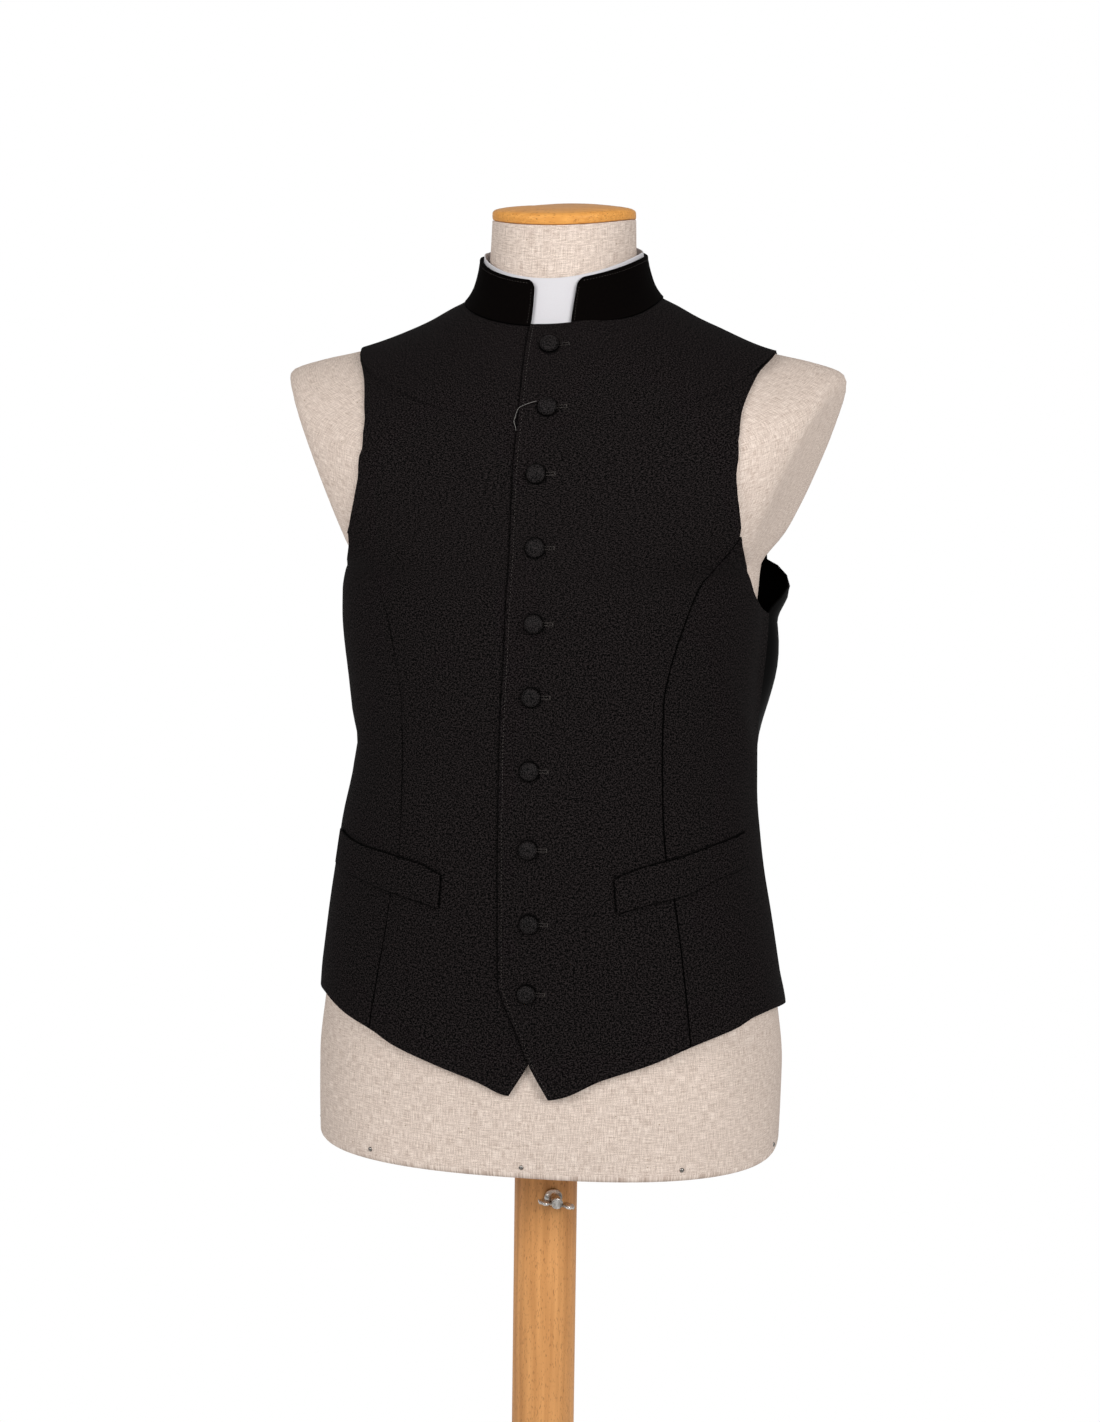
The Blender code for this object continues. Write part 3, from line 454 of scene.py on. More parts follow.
# Drawn steel: bright, with fine lines along its length from the die.
rod_steel, tree, surface, place = new_material("drawn_steel")
draw_lines = add_node(tree, "Mapping", {"Vector": place, "Scale": (900.0, 900.0, 8.0)})
lines = add_node(tree, "TexNoise", {"Vector": draw_lines, "Scale": 1.0, "Detail": 3.0})
dull = add_node(tree, "MapRange", {"Value": lines, "To Min": 0.22, "To Max": 0.42})
metal = add_node(tree, "Mix", {0: lines, 6: "#9B9A97", 7: "#C9C8C4"}, data_type="RGBA")
set_inputs(tree, surface, {"Base Color": metal, "Roughness": dull, "Metallic": 1.0})


def turned(profile, sides, seat=Matrix.Scale(MM, 4)):
    """A shape turned from a closed profile of radius and height, in millimetres, set in a frame."""
    shape = bmesh.new()
    verts = [shape.verts.new((radius, 0, height)) for radius, height in profile]
    edges = [shape.edges.new(pair) for pair in zip(verts, verts[1:])]
    bmesh.ops.spin(shape, geom=verts + edges, cent=(0, 0, 0), axis=(0, 0, 1), angle=FULL_TURN, steps=sides,
                   use_merge=True)
    bmesh.ops.transform(shape, matrix=seat, verts=shape.verts)
    return shape


def rounded(radius, height, edge, steps=5):
    """The profile points of a rounded upper edge, from the side round to the top."""
    angles = spread(0.0, QUARTER, steps)
    middle, level = radius - edge, height - edge
    return [(middle + edge * math.cos(angle), level + edge * math.sin(angle)) for angle in angles]


foot_profile = [
    (0, 0), (FOOT_RADIUS - FOOT_LOW_EDGE, 0), (FOOT_RADIUS, FOOT_LOW_EDGE),
    *rounded(FOOT_RADIUS, FOOT_THICKNESS, FOOT_EDGE, 8), (0, FOOT_THICKNESS),
]
foot = finish_piece("turned_foot", turned(foot_profile, FOOT_SIDES), board_beech, sharp=40)
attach(foot, "stand")
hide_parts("foot")

pole_top = BUST_BOTTOM - GAP
pole_foot = FOOT_THICKNESS + GAP
pole_profile = [
    (0, pole_foot), (POLE_RADIUS, pole_foot), *rounded(POLE_RADIUS, pole_top, POLE_EDGE),
    (BORE_RADIUS, pole_top), (BORE_RADIUS, pole_top - BORE_DEPTH), (0, pole_top - BORE_DEPTH),
]
pole = finish_piece("turned_pole", turned(pole_profile, POLE_SIDES), pole_beech, sharp=40)
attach(pole, "stand")
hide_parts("pole")

rod_top = BUST_BOTTOM + SOCKET_DEPTH - GAP
rod_profile = [
    (0, rod_top - ROD_LENGTH), (ROD_RADIUS, rod_top - ROD_LENGTH), *rounded(ROD_RADIUS, rod_top, ROD_EDGE),
    (0, rod_top),
]
rod = finish_piece("drawn_rod", turned(rod_profile, ROD_SIDES), rod_steel, sharp=40)
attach(rod, "rod")
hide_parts("rod")

# THE WING SCREW
# A die-cast zinc screw with a round flange, a hub with a flat end and two rounded wings. It is turned
# by hand through the side of the pole to clamp the rod.
SCREW_DROP = 44.5
SCREW_TURN = math.radians(22)
WING_TILT = math.radians(12)
SHANK_RADIUS = 3.8
SHANK_CLEARANCE = 0.6
FLANGE_RADIUS = 7.75
FLANGE_THICKNESS = 5.0
FLANGE_PROFILE = (
    # in from the flange's side, up from its foot
    (0.6, 0.0), (0.0, 0.6), (0.0, 3.4), (0.6, 4.3),
)
HUB_RADIUS = 5.0
HUB_LENGTH = 14.0
HUB_FOOT = (
    # out from the hub's side, up from its foot
    (1.2, 0.0), (0.3, 1.0), (0.0, 2.2),
)
HUB_EDGE = 1.3
WING_SPAN = 31.0
WING_LENGTH = 10.0
WING_THICKNESS = 3.0
WING_CUTS = 13
WING_EDGE = 1.2
WING_CORNER = 0.6
WING_SHIFT = (-1.2, 1.0)
# Shares of a wing's thickness and length at its root, what the tip or the lobe adds, and the tip's rise
WING_ROOT = (0.75, 0.72)
WING_ADDED = (0.35, 0.28)
WING_RISE = 0.6
SCREW_SIDES = 48

# Die-cast zinc: bright but slightly grained from the mould, with soft edges where it was tumbled, and
# a darker film and painted shade in its hollows.
zinc, tree, surface, place = new_material("die_cast_zinc")
skin = add_node(tree, "TexNoise", {"Vector": place, "Scale": 420.0, "Detail": 4.0})
film = add_node(tree, "TexNoise", {"Vector": place, "Scale": 110.0, "Detail": 3.0})
bright = add_node(tree, "MapRange", {"Value": film, "From Min": 0.35, "From Max": 0.6})
metal = add_node(tree, "Mix", {0: bright, 6: "#8A837B", 7: "#F2EFEA"}, data_type="RGBA")
# Painted shade with the film: the colour darkens towards near black where other metal lies close
hollows = add_node(tree, "AmbientOcclusion", {"Distance": 5 * MM}, "AO", samples=8)
film_and_shade = add_node(tree, "MapRange", {"Value": hollows, "From Min": 0.5, "From Max": 0.85})
metal = add_node(tree, "Mix", {0: film_and_shade, 6: "#1E1813", 7: metal}, data_type="RGBA")
dull = add_node(tree, "MapRange", {"Value": skin, "To Min": 0.16, "To Max": 0.34})
relief = add_node(tree, "Bump", {"Height": skin, "Strength": 0.6, "Distance": 0.4 * MM})
set_inputs(tree, surface, {"Base Color": metal, "Roughness": dull, "Normal": relief, "Metallic": 1.0})

seat = Matrix.Translation((0, 0, BUST_BOTTOM - SCREW_DROP)) @ Matrix.Rotation(SCREW_TURN, 4, "Z")
seat = Matrix.Scale(MM, 4) @ seat @ Matrix.Rotation(QUARTER, 4, "X") @ Matrix.Rotation(-WING_TILT, 4, "Z")
shank_end = ROD_RADIUS + SHANK_CLEARANCE
flange_start = POLE_RADIUS + GAP
hub_start = flange_start + FLANGE_THICKNESS
hub_end = hub_start + HUB_LENGTH
screw_profile = [
    (0, shank_end), (SHANK_RADIUS, shank_end), (SHANK_RADIUS, flange_start),
    *[(FLANGE_RADIUS - inset, flange_start + rise) for inset, rise in FLANGE_PROFILE],
    *[(HUB_RADIUS + outset, hub_start + rise) for outset, rise in HUB_FOOT],
    *rounded(HUB_RADIUS, hub_end, HUB_EDGE), (0, hub_end),
]
shape = turned(screw_profile, SCREW_SIDES, seat)
wings = bmesh.new()
bmesh.ops.create_cube(wings, size=1.0)
long_edges = [edge for edge in wings.edges if abs(edge.verts[0].co.x - edge.verts[1].co.x) > 0.5]
bmesh.ops.subdivide_edges(wings, edges=long_edges, cuts=WING_CUTS, use_grid_fill=True)
bmesh.ops.scale(wings, vec=(WING_SPAN, WING_THICKNESS, WING_LENGTH), verts=wings.verts)
for vert in wings.verts:
    reach = abs(vert.co.x) / (WING_SPAN / 2)
    lobe = math.sin(math.pi * reach**1.5) ** 2
    vert.co.y *= WING_ROOT[0] + WING_ADDED[0] * reach**2
    vert.co.z = vert.co.z * (WING_ROOT[1] + WING_ADDED[1] * lobe) + WING_RISE * reach
corners = [edge for edge in wings.edges if len(edge.link_faces) == 2]
corners = [edge for edge in corners if edge.calc_face_angle() > WING_CORNER]
bmesh.ops.bevel(wings, geom=corners, offset=WING_EDGE, segments=4, affect="EDGES", profile=0.5, material=-1)
back, up = WING_SHIFT
bmesh.ops.translate(wings, vec=(0, back, hub_end - WING_LENGTH / 2 + up), verts=wings.verts)
bmesh.ops.transform(wings, matrix=seat, verts=wings.verts)
wings_piece = finish_piece("cast_wings", wings, zinc, sharp=70)
screw_piece = finish_piece("cast_wing_screw", shape, zinc, sharp=50)
for piece in (screw_piece, wings_piece):
    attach(piece, "screw")
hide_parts("wing_screw")

# THE VEST'S SATIN BACK
# Two halves of black satin, seamed down the middle. They hang free of the hollow of the back and stand
# off a little under the armholes.
SATIN = 1.0
SEAM_GAP = 0.16
SEAM_ROLL = 1.3
EASE_ROWS = (
    # way, front, wearer's left side, wearer's right side, back
    (0, 3.0, 6.5, 3.0, 9.0),
    (120, 3.0, 6.5, 3.5, 11.0),
    (150, 3.0, 4.5, 5.0, 12.0),
    (220, 3.0, 3.2, 6.0, 15.0),
    (272, 3.5, 7.5, 9.0, 20.0),
    (330, 5.0, 17.0, 11.0, 24.0),
    (390, 5.0, 11.0, 10.5, 20.0),
    (440, 4.0, 6.5, 8.5, 12.0),
    (480, 3.5, 5.0, 5.5, 8.0),
    (540, 3.0, 4.0, 4.0, 5.0),
    (704, 3.0, 4.5, 2.6, 4.0),
    (812, 3.0, 6.0, 2.8, 3.2),
    (881, 3.0, 2.0, 3.0, 3.0),
)
FOLDS = (
    # turn and way of its middle, half its size in turn and way, lean in degrees per mm, height in mm
    (105, 415, 22, 80, 0.0, 17.5),
    (107, 476, 20, 34, 0.0, 19.5),
    (-108, 470, 18, 120, 0.0, 9.0),
    (64, 385, 9, 95, -0.29, 2.6),
    (-76, 343, 16, 22, 0.0, -2.6),
    (36, 92, 7, 70, 0.0, 1.8),
    (55, 96, 7, 70, 0.0, 1.8),
    (150, 120, 18, 200, 0.0, 5.0),
    (-148, 120, 18, 200, 0.0, 5.0),
)
# Small uneven swells of the hanging cloth: how wide and how high
SWELL_SIZE = 55.0
SWELL_HEIGHT = 0.7
SWELL_STRETCH = 0.6
SWELL_FADE = (500.0, 620.0)
# Beside an armhole the shoulder of the vest lies on the form: over which ways, how close, and how far in.
# The stiff collar lifts it again towards the neck.
HUG_LOW = 540.0
HUG_HIGH = 640.0
LIFT_LOW = 705.0
LIFT_HIGH = 760.0
HUG_CLEARANCE = 0.8
HUG_REACH = 26.0
LEFT_ARMHOLE = (
    # way, front turn, back turn
    (452, 90, 90), (459, 80.5, 93.5), (472, 72.5, 101), (483, 69.5, 106), (497, 65.2, 111.7),
    (513, 56.0, 117.8), (521, 52.6, 120.5), (537, 48.8, 125.5),
    (567, 44.5, 131.5), (595, 41.9, 134.5), (617, 41.1, 135.5), (640, 41.8, 134.5),
    (656, 44.4, 131.5), (671, 49.1, 127), (684, 55.2, 120.5), (694, 62.2, 113), (701, 70.5, 104),
    (704, 90, 90),
)
RIGHT_ARMHOLE = (
    # way, front turn, back turn
    (452, 90, 90), (464, 78.0, 97), (483, 68.5, 106), (497, 62.5, 111.7), (513, 51.2, 118), (521, 47.6, 121),
    (534, 44.9, 125), (559, 40.7, 130.5), (589, 37.4, 134.5), (616, 36.0, 136), (642, 35.9, 135),
    (662, 39.2, 132), (684, 46.6, 124), (701, 55.6, 114), (709.5, 65.7, 104), (713, 90, 90),
)
UNDERARM = 452
HEM_ROWS = (
    # turn in degrees, way
    (-180, 112.0), (-135, 114.0), (-100, 122.0), (-88, 126.0), (-66, 127.4), (-46, 116.2),
    (-38.2, 110.0), (-32.4, 101.9), (-21.8, 90.8), (-10.7, 79.1), (-3, 69.1), (6.4, 68.3),
    (9.7, 70.8), (18.4, 84.8), (29.8, 97.8), (38.1, 109.0), (52.7, 121.2), (61.1, 127.2),
    (70, 128.3), (79, 126.5), (90, 123.0), (120, 118.0), (180, 112.0),
)
NECK_ROWS = (
    # turn in degrees, way
    (-180, 812.0), (-90, 811.0), (0, 812.0), (20, 812.0), (36, 807.6), (57, 804.1), (70, 805.6),
    (90, 809.0), (180, 812.0),
)
LOW_WAY = 170
HEM_STEPS = 4
MIDDLE_WAYS = tuple(range(200, 441, 30))
CHEST_WAYS = (464, 489, 513, 537)
SHOULDER_SHARES = (0.18, 0.35, 0.5, 0.65, 0.77, 0.87, 0.94, 0.98, 1.0)
PRINCESS_TOP = 537
NECK_STEPS = 5
# How far a panel's first columns lie from its edge, in millimetres, and its first rows, in shares of the
# gap between two rows, and into how many rows each gap between its main rows is cut
EDGE_STEPS = (0.0, 0.3, 0.8, 1.5, 3.0)
EDGE_SHARES = (0.0, 0.04, 0.1, 0.2, 0.45)
FINE = 3
# A half of the back: its width and columns, and the radii of its edges
BACK_WIDTH = 230.0
BACK_COLUMNS = 44
BACK_ROLLS = (0.5, 0.5, 0.8, 0.5)
# The wearer's left has x above zero
SIDES = ((1, "left"), (-1, "right"))
EASE = Curves(EASE_ROWS)
ARMHOLES = {1: Curves(LEFT_ARMHOLE), -1: Curves(RIGHT_ARMHOLE)}
HEM = Curves(HEM_ROWS)
NECKLINE = Curves(NECK_ROWS)

# Black viscose satin: long floats of smooth yarn lie side by side, so it is nearly black face on and
# shines in broad soft streaks where it turns away.
satin, tree, surface, flat_cloth = new_material("black_satin", cloth=True)
float_lines = add_node(tree, "Mapping", {"Vector": flat_cloth, "Scale": (1400.0, 60.0, 1.0)})
floats = add_node(tree, "TexNoise", {"Vector": float_lines, "Scale": 1.0, "Detail": 2.0})
dull = add_node(tree, "MapRange", {"Value": floats, "To Min": 0.3, "To Max": 0.45})
tone = add_node(tree, "Mix", {0: floats, 6: "#020202", 7: "#070606"}, data_type="RGBA")
relief = add_node(tree, "Bump", {"Height": floats, "Strength": 0.3, "Distance": 0.05 * MM})
set_inputs(tree, surface, {"Base Color": tone, "Roughness": dull, "Normal": relief,
                           "Specular IOR Level": 0.015, "Anisotropic": 0.5})


def eased(value, low, high):
    """Rises smoothly from 0 at low to 1 at high."""
    share = min(max((value - low) / (high - low), 0.0), 1.0)
    return share * share * (3 - 2 * share)


def cloth_ease(turn, way):
    """How far the inside of the cloth stands off the form, in millimetres."""
    front, left, right, back = EASE.at(way)
    end = front if math.cos(turn) > 0 else back
    side = left if math.sin(turn) > 0 else right
    sideways = math.sin(turn) ** 2
    return end * (1 - sideways) + side * sideways


def bump(share):
    """A smooth hump that is 1 in the middle and 0 from a share of 1 outwards."""
    return (1 - share * share) ** 2 if abs(share) < 1 else 0.0


def cloth_folds(turn, way):
    """How far the folds lift the cloth at a place, in millimetres."""
    lift = 0.0
    for fold_turn, fold_way, half_turn, half_way, lean, height in FOLDS:
        up = way - fold_way
        aside_turn = math.degrees(turn) - fold_turn - lean * up
        lift += height * bump(up / half_way) * bump(aside_turn / half_turn)
    return lift


def cloth_swell(turn, way):
    """The uneven swells, which die out on the shoulders and at the neck."""
    start, end = SWELL_FADE
    place = Vector((BODY_REACH * turn, way * SWELL_STRETCH, 0)) / SWELL_SIZE
    return SWELL_HEIGHT * noise.noise(place) * min(max((end - way) / (end - start), 0.0), 1.0)


def cloth_line(turn, way):
    """The inside of the cloth at a place, in millimetres, and the direction straight out of it."""
    out = form_normal(turn, way)
    stand = cloth_ease(turn, way) + cloth_folds(turn, way) + cloth_swell(turn, way)
    return form_point(turn, way) + out * stand, out


def cloth_point(turn, way, out=0.0):
    """A point over the form, in millimetres. Out is counted from the inside of the cloth."""
    point, direction = cloth_line(turn, way)
    return point + direction * out


def aside(place, distance):
    """The place, moved along its ring by a distance in millimetres."""
    turn, way = place
    return Vector((turn + distance * 2 * SMALL_TURN / ring_step(turn, way).length, way))


def armhole_place(side, way, edge):
    """A place on an armhole's front edge, 0, or its back edge, 1."""
    return Vector((side * math.radians(ARMHOLES[side].at(way)[edge]), way))


def shoulder_end(side):
    """The way of the armhole's top, where it meets the shoulder seam."""
    return ARMHOLES[side].places[-1]


def row_ways(side, hem_way, neck_way, with_underarm=False):
    """The ways of a long panel's main rows at one of its edges, from the hem to the neckline."""
    ways = spread(hem_way, LOW_WAY, HEM_STEPS) + list(MIDDLE_WAYS)
    if with_underarm:
        ways.append(UNDERARM)
    ways += CHEST_WAYS
    ways += [PRINCESS_TOP + (shoulder_end(side) - PRINCESS_TOP) * share for share in SHOULDER_SHARES]
    return ways + spread(shoulder_end(side), neck_way, NECK_STEPS)[1:]


def between(values, share):
    """The value at a share of the way through a list, on the straight line between two of its values."""
    place = share * (len(values) - 1)
    index = min(int(place), len(values) - 2)
    return values[index] + (values[index + 1] - values[index]) * (place - index)


def line_place(line, start_turn, end_turn, share, drop=0.0):
    """A place along the hem or the neckline."""
    turn = start_turn + (end_turn - start_turn) * share
    return Vector((turn, line.at(math.degrees(turn))[0] - drop))


def patch(bottom, top, left, right, across, up):
    """A place for each column and row, blended from four edges that are functions of a share."""
    lefts, rights = [left(t) for t in up], [right(t) for t in up]
    bottoms, tops = [bottom(u) for u in across], [top(u) for u in across]
    places = {}
    for column, u in enumerate(across):
        for row, t in enumerate(up):
            low = lefts[0] * (1 - u) + rights[0] * u
            high = lefts[-1] * (1 - u) + rights[-1] * u
            along = lefts[row] * (1 - u) + rights[row] * u
            upward = bottoms[column] * (1 - t) + tops[column] * t
            places[column, row] = along + upward - (low * (1 - t) + high * t)
    return places


def shares(length, near_start, near_end, steps):
    """Shares of a length: close together by both edges, at the distances given, and even between."""
    start = [distance / length for distance in near_start]
    end = [1 - distance / length for distance in reversed(near_end)]
    return start + spread(start[-1], end[0], steps)[1:-1] + end


def rolled(distance, radius):
    """How far a face drops at a distance from an edge that is rounded off with a radius."""
    return radius - math.sqrt(radius**2 - (radius - distance) ** 2) if distance < radius else 0.0


def settled(turn, way, from_armhole):
    """How far the cloth sinks onto the shoulder beside an armhole, in millimetres."""
    hug = eased(way, HUG_LOW, HUG_HIGH) - eased(way, LIFT_LOW, LIFT_HIGH)
    return (cloth_ease(turn, way) - HUG_CLEARANCE) * hug * bump(min(from_armhole / HUG_REACH, 1.0))


def panel(name, places, across, up, thickness, rolls, material, lift=None):
    """A cut piece of cloth: a wall over its places, with its four edges rounded off.

    rolls are the radii at the hem, the top, the first and the last column. lift moves the whole wall
    out. On the shoulder the last column is the armhole's, and the cloth settles beside it.
    """
    columns, rows = len(across) - 1, len(up) - 1
    hem_roll, top_roll, left_roll, right_roll = rolls
    lines = {number: cloth_line(*place) for number, place in places.items()}

    def edge_distance(number, other):
        return (lines[number][0] - lines[other][0]).length

    def place(column, row, face):
        point, out = lines[column, row]
        here = column, row
        height = thickness * face
        if face:
            height -= max(
                rolled(edge_distance(here, (column, 0)), hem_roll),
                rolled(edge_distance(here, (column, rows)), top_roll),
                rolled(edge_distance(here, (0, row)), left_roll),
                rolled(edge_distance(here, (columns, row)), right_roll),
            )
        if lift:
            height += lift(here, face, edge_distance(here, (0, row)))
        height -= settled(*places[here], edge_distance(here, (columns, row)))
        return to_world(point + out * height)

    def flat(column, row):
        turn, way = places[column, row]
        return turn * BODY_REACH * MM, way * MM

    return finish_piece(name, bent_grid(columns, rows, place, flat, wall=True), material, merge=0.001 * MM)


def fine_rows(main_ways):
    """Shares of a panel's length: the gaps between its main rows cut in three, and closer by both ends."""
    middle = spread(0.0, 1.0, (len(main_ways) - 1) * FINE)
    start = [middle[1] * share for share in EDGE_SHARES]
    return start + middle[1:-1] + [1 - share for share in reversed(start)]


back_across = shares(BACK_WIDTH, EDGE_STEPS, EDGE_STEPS, BACK_COLUMNS)
back_up = fine_rows(row_ways(1, 0.0, NECK_TOP, with_underarm=True))
for side, word in SIDES:
    side_ways = row_ways(side, HEM.at(side * 90)[0], NECKLINE.at(side * 90)[0] - GAP, True)
    middle_ways = row_ways(side, HEM.at(180)[0], NECKLINE.at(180)[0] - GAP, True)

    def back_outer(t):
        way = between(side_ways, t)
        if UNDERARM < way < shoulder_end(side):
            return armhole_place(side, way, 1)
        return aside(Vector((side * QUARTER, way)), side * SEAM_GAP / 2)

    def back_middle(t):
        return aside(Vector((side * math.pi, between(middle_ways, t))), -side * SEAM_GAP / 2)

    hem_ends = back_middle(0).x, back_outer(0).x
    neck_ends = back_middle(1).x, back_outer(1).x
    places = patch(
        lambda u: line_place(HEM, *hem_ends, u),
        lambda u: line_place(NECKLINE, *neck_ends, u, GAP),
        back_middle, back_outer, back_across, back_up,
    )
    piece = panel(f"satin_back_{word}", places, back_across, back_up, SATIN, BACK_ROLLS, satin)
    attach(piece, "bust")
    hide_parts(f"back_{word}")

# THE VEST'S WOOL FRONTS
# Each front is cut in two, a centre and a side panel joined by a curved seam from armhole to hem. The
# left front laps over the right one. The edges are faced, pressed and topstitched.
WOOL = 2.0
LAP_GAP = 0.8
LAP_START = 34.0
LAP_END = 62.0
FRONT_EDGES = (
    # way, left front's edge x, right front's edge x
    (69, 22.2, -10.0), (97, 6.4, 6.4), (119, -2.2, 14.8), (142, -12.0, 24.0), (153, -16.0, 28.0),
    (162, -18.2, 30.0), (210, -18.6, 30.0), (331, -18.8, 29.5), (452, -14.0, 30.5), (543, -11.1, 29.0),
    (646, -10.6, 29.0), (725, -8.8, 30.0), (812, -8.1, 30.0),
)
PRINCESS_SEAMS = (
    # way, left x, right x
    (100, 133.0, -131.0), (115, 131.5, -129.5), (151, 127.2, -123.5), (195, 121.6, -115.5),
    (229, 116.5, -110.0), (262, 109.8, -103.2), (300, 106.6, -101.8), (349, 105.3, -101.8),
    (387, 105.8, -102.6), (417, 110.7, -107.3), (449, 119.7, -113.4), (481, 129.8, -125.0),
    (505, 140.9, -133.7), (526, 155.2, -145.0), (537, 160.7, -151.5),
)
UNDERARM_WAYS = (537, 521, 504, 488, 472, 459, 452)
FRONT_ROLL = 1.1
CENTRE_ROLLS = (FRONT_ROLL, 0.6, FRONT_ROLL, SEAM_ROLL)
SIDE_ROLLS = (FRONT_ROLL, FRONT_ROLL, SEAM_ROLL, SEAM_ROLL)
FRONT_STEPS = (0.0, 0.25, 0.6, 1.1, 2.2, 3.0, 3.8, 5.5, 9.0)
CENTRE_WIDTH = 190.0
CENTRE_COLUMNS = 34
SIDE_WIDTH = 110.0
SIDE_COLUMNS = 18
STITCH_INSET = 3.0
STITCH_DIMPLE = 0.22
DIMPLE_REACH = 1.2
EDGES = Curves(FRONT_EDGES)
PRINCESS = Curves(PRINCESS_SEAMS)
HALVINGS = 22
FOOT_ROUNDS = 8

# Worsted wool suiting: fine twisted yarns in a plain twill, pressed flat. It takes in nearly all light
# and shows only a faint grey tooth. In a seam, under an edge and round a button its colour is darkened
# with painted shade. The yarns are 0.4 mm apart; the tooth is drawn 0.9 mm wide.
WOOL_YARN = 0.9
WOOL_FLOAT = 1.8
WOOL_FUZZ = 1.25
# How far the painted shade reaches from a seam or an edge, in millimetres, and how strongly it darkens
SHADE_REACH = 2.3
SHADE_DEPTH = 4.0


def painted_groove_shade(tree, tone):
    """Darkens a colour with painted shade in seams, under edges and round buttons, where little light
    reaches.
    """
    reached = add_node(tree, "AmbientOcclusion", {"Distance": SHADE_REACH * MM}, "AO", samples=8)
    depth = add_node(tree, "Math", {0: reached, 1: SHADE_DEPTH}, operation="POWER")
    return add_node(tree, "Mix", {0: 1.0, 6: tone, 7: depth}, data_type="RGBA", blend_type="MULTIPLY")


wool, tree, surface, flat_cloth = new_material("black_worsted_wool", cloth=True)
weave = crossing_yarns(tree, flat_cloth, WOOL_YARN, WOOL_FLOAT, WOOL_FUZZ, 1.0)
tooth = add_node(tree, "MapRange", {"Value": weave, "From Min": 1.41, "From Max": 1.7})
tone = add_node(tree, "Mix", {0: tooth, 6: "#010101", 7: "#282323"}, data_type="RGBA")
relief = add_node(tree, "Bump", {"Height": weave, "Strength": 0.5, "Distance": 0.15 * MM})
set_inputs(tree, surface, {"Base Color": painted_groove_shade(tree, tone), "Normal": relief, "Roughness": 0.85,
                           "Specular IOR Level": 0.04})


def turn_at(x, way):
    """The turn on the front half where the cloth at this way is x millimetres to the wearer's left."""
    low, high = -QUARTER, QUARTER
    for _ in range(HALVINGS):
        middle = (low + high) / 2
        if cloth_point(middle, way).x < x:
            low = middle
        else:
            high = middle
    return low


def front_lap(x):
    """How far the left front is lifted by the right front that lies under it, in millimetres."""
    return (WOOL + LAP_GAP) * (1 - eased(x, LAP_START, LAP_END))


def princess_place(side, way):
    """A place on the seam between a front's centre and its side panel."""
    return Vector((turn_at(PRINCESS.at(way)[0 if side > 0 else 1], way), way))


def princess_foot(side):
    """Where that seam meets the hem."""
    way = LOW_WAY
    for _ in range(FOOT_ROUNDS):
        way = HEM.at(math.degrees(princess_place(side, way).x))[0]
    return way


def front_edge_place(side, way):
    """A place on a front's own edge."""
    return Vector((turn_at(EDGES.at(way)[0 if side > 0 else 1], way), way))


centre_across = shares(CENTRE_WIDTH, FRONT_STEPS, EDGE_STEPS, CENTRE_COLUMNS)
centre_up = fine_rows(row_ways(1, 0.0, NECK_TOP))
for side, word in SIDES:
    edge_ways = row_ways(side, FRONT_EDGES[0][0], NECKLINE.at(0)[0])
    seam_ways = row_ways(side, princess_foot(side), NECKLINE.at(side * 90)[0] - GAP)

    def centre_edge(t):
        return front_edge_place(side, between(edge_ways, t))

    def centre_outer(t):
        way = between(seam_ways, t)
        if way <= PRINCESS_TOP:
            return aside(princess_place(side, way), -side * SEAM_GAP / 2)
        if way < shoulder_end(side):
            return armhole_place(side, way, 0)
        return aside(Vector((side * QUARTER, way)), -side * SEAM_GAP / 2)

    hem_ends = centre_edge(0).x, centre_outer(0).x
    neck_ends = centre_edge(1).x, centre_outer(1).x
    places = patch(
        lambda u: line_place(HEM, *hem_ends, u),
        lambda u: line_place(NECKLINE, *neck_ends, u, GAP),
        centre_edge, centre_outer, centre_across, centre_up,
    )

    def pressed_edge(here, face, from_edge):
        lap = front_lap(form_point(*places[here]).x) if side > 0 else 0.0
        return lap - face * STITCH_DIMPLE * bump((from_edge - STITCH_INSET) / DIMPLE_REACH)

    name = f"wool_front_{word}_centre"
    piece = panel(name, places, centre_across, centre_up, WOOL, CENTRE_ROLLS, wool, pressed_edge)
    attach(piece, "bust")
    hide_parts(f"front_{word}_centre")

side_across = shares(SIDE_WIDTH, EDGE_STEPS, EDGE_STEPS, SIDE_COLUMNS)
for side, word in SIDES:
    seam_ways = spread(princess_foot(side), LOW_WAY, HEM_STEPS) + list(MIDDLE_WAYS) + list(CHEST_WAYS)
    side_ways = spread(HEM.at(side * 90)[0], LOW_WAY, HEM_STEPS) + list(MIDDLE_WAYS)
    side_ways += spread(MIDDLE_WAYS[-1], UNDERARM, len(CHEST_WAYS))[1:]

    def side_inner(t):
        return aside(princess_place(side, between(seam_ways, t)), side * SEAM_GAP / 2)

    def side_outer(t):
        return aside(Vector((side * QUARTER, between(side_ways, t))), -side * SEAM_GAP / 2)

    def side_top(u):
        if u in (0, 1):
            return side_outer(1.0) if u else side_inner(1.0)
        return armhole_place(side, between(UNDERARM_WAYS, u), 0)

    hem_ends = side_inner(0).x, side_outer(0).x
    side_up = fine_rows(seam_ways)
    places = patch(
        lambda u: line_place(HEM, *hem_ends, u), side_top, side_inner, side_outer, side_across, side_up
    )
    piece = panel(f"wool_front_{word}_side", places, side_across, side_up, WOOL, SIDE_ROLLS, wool)
    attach(piece, "bust")
    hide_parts(f"front_{word}_side")
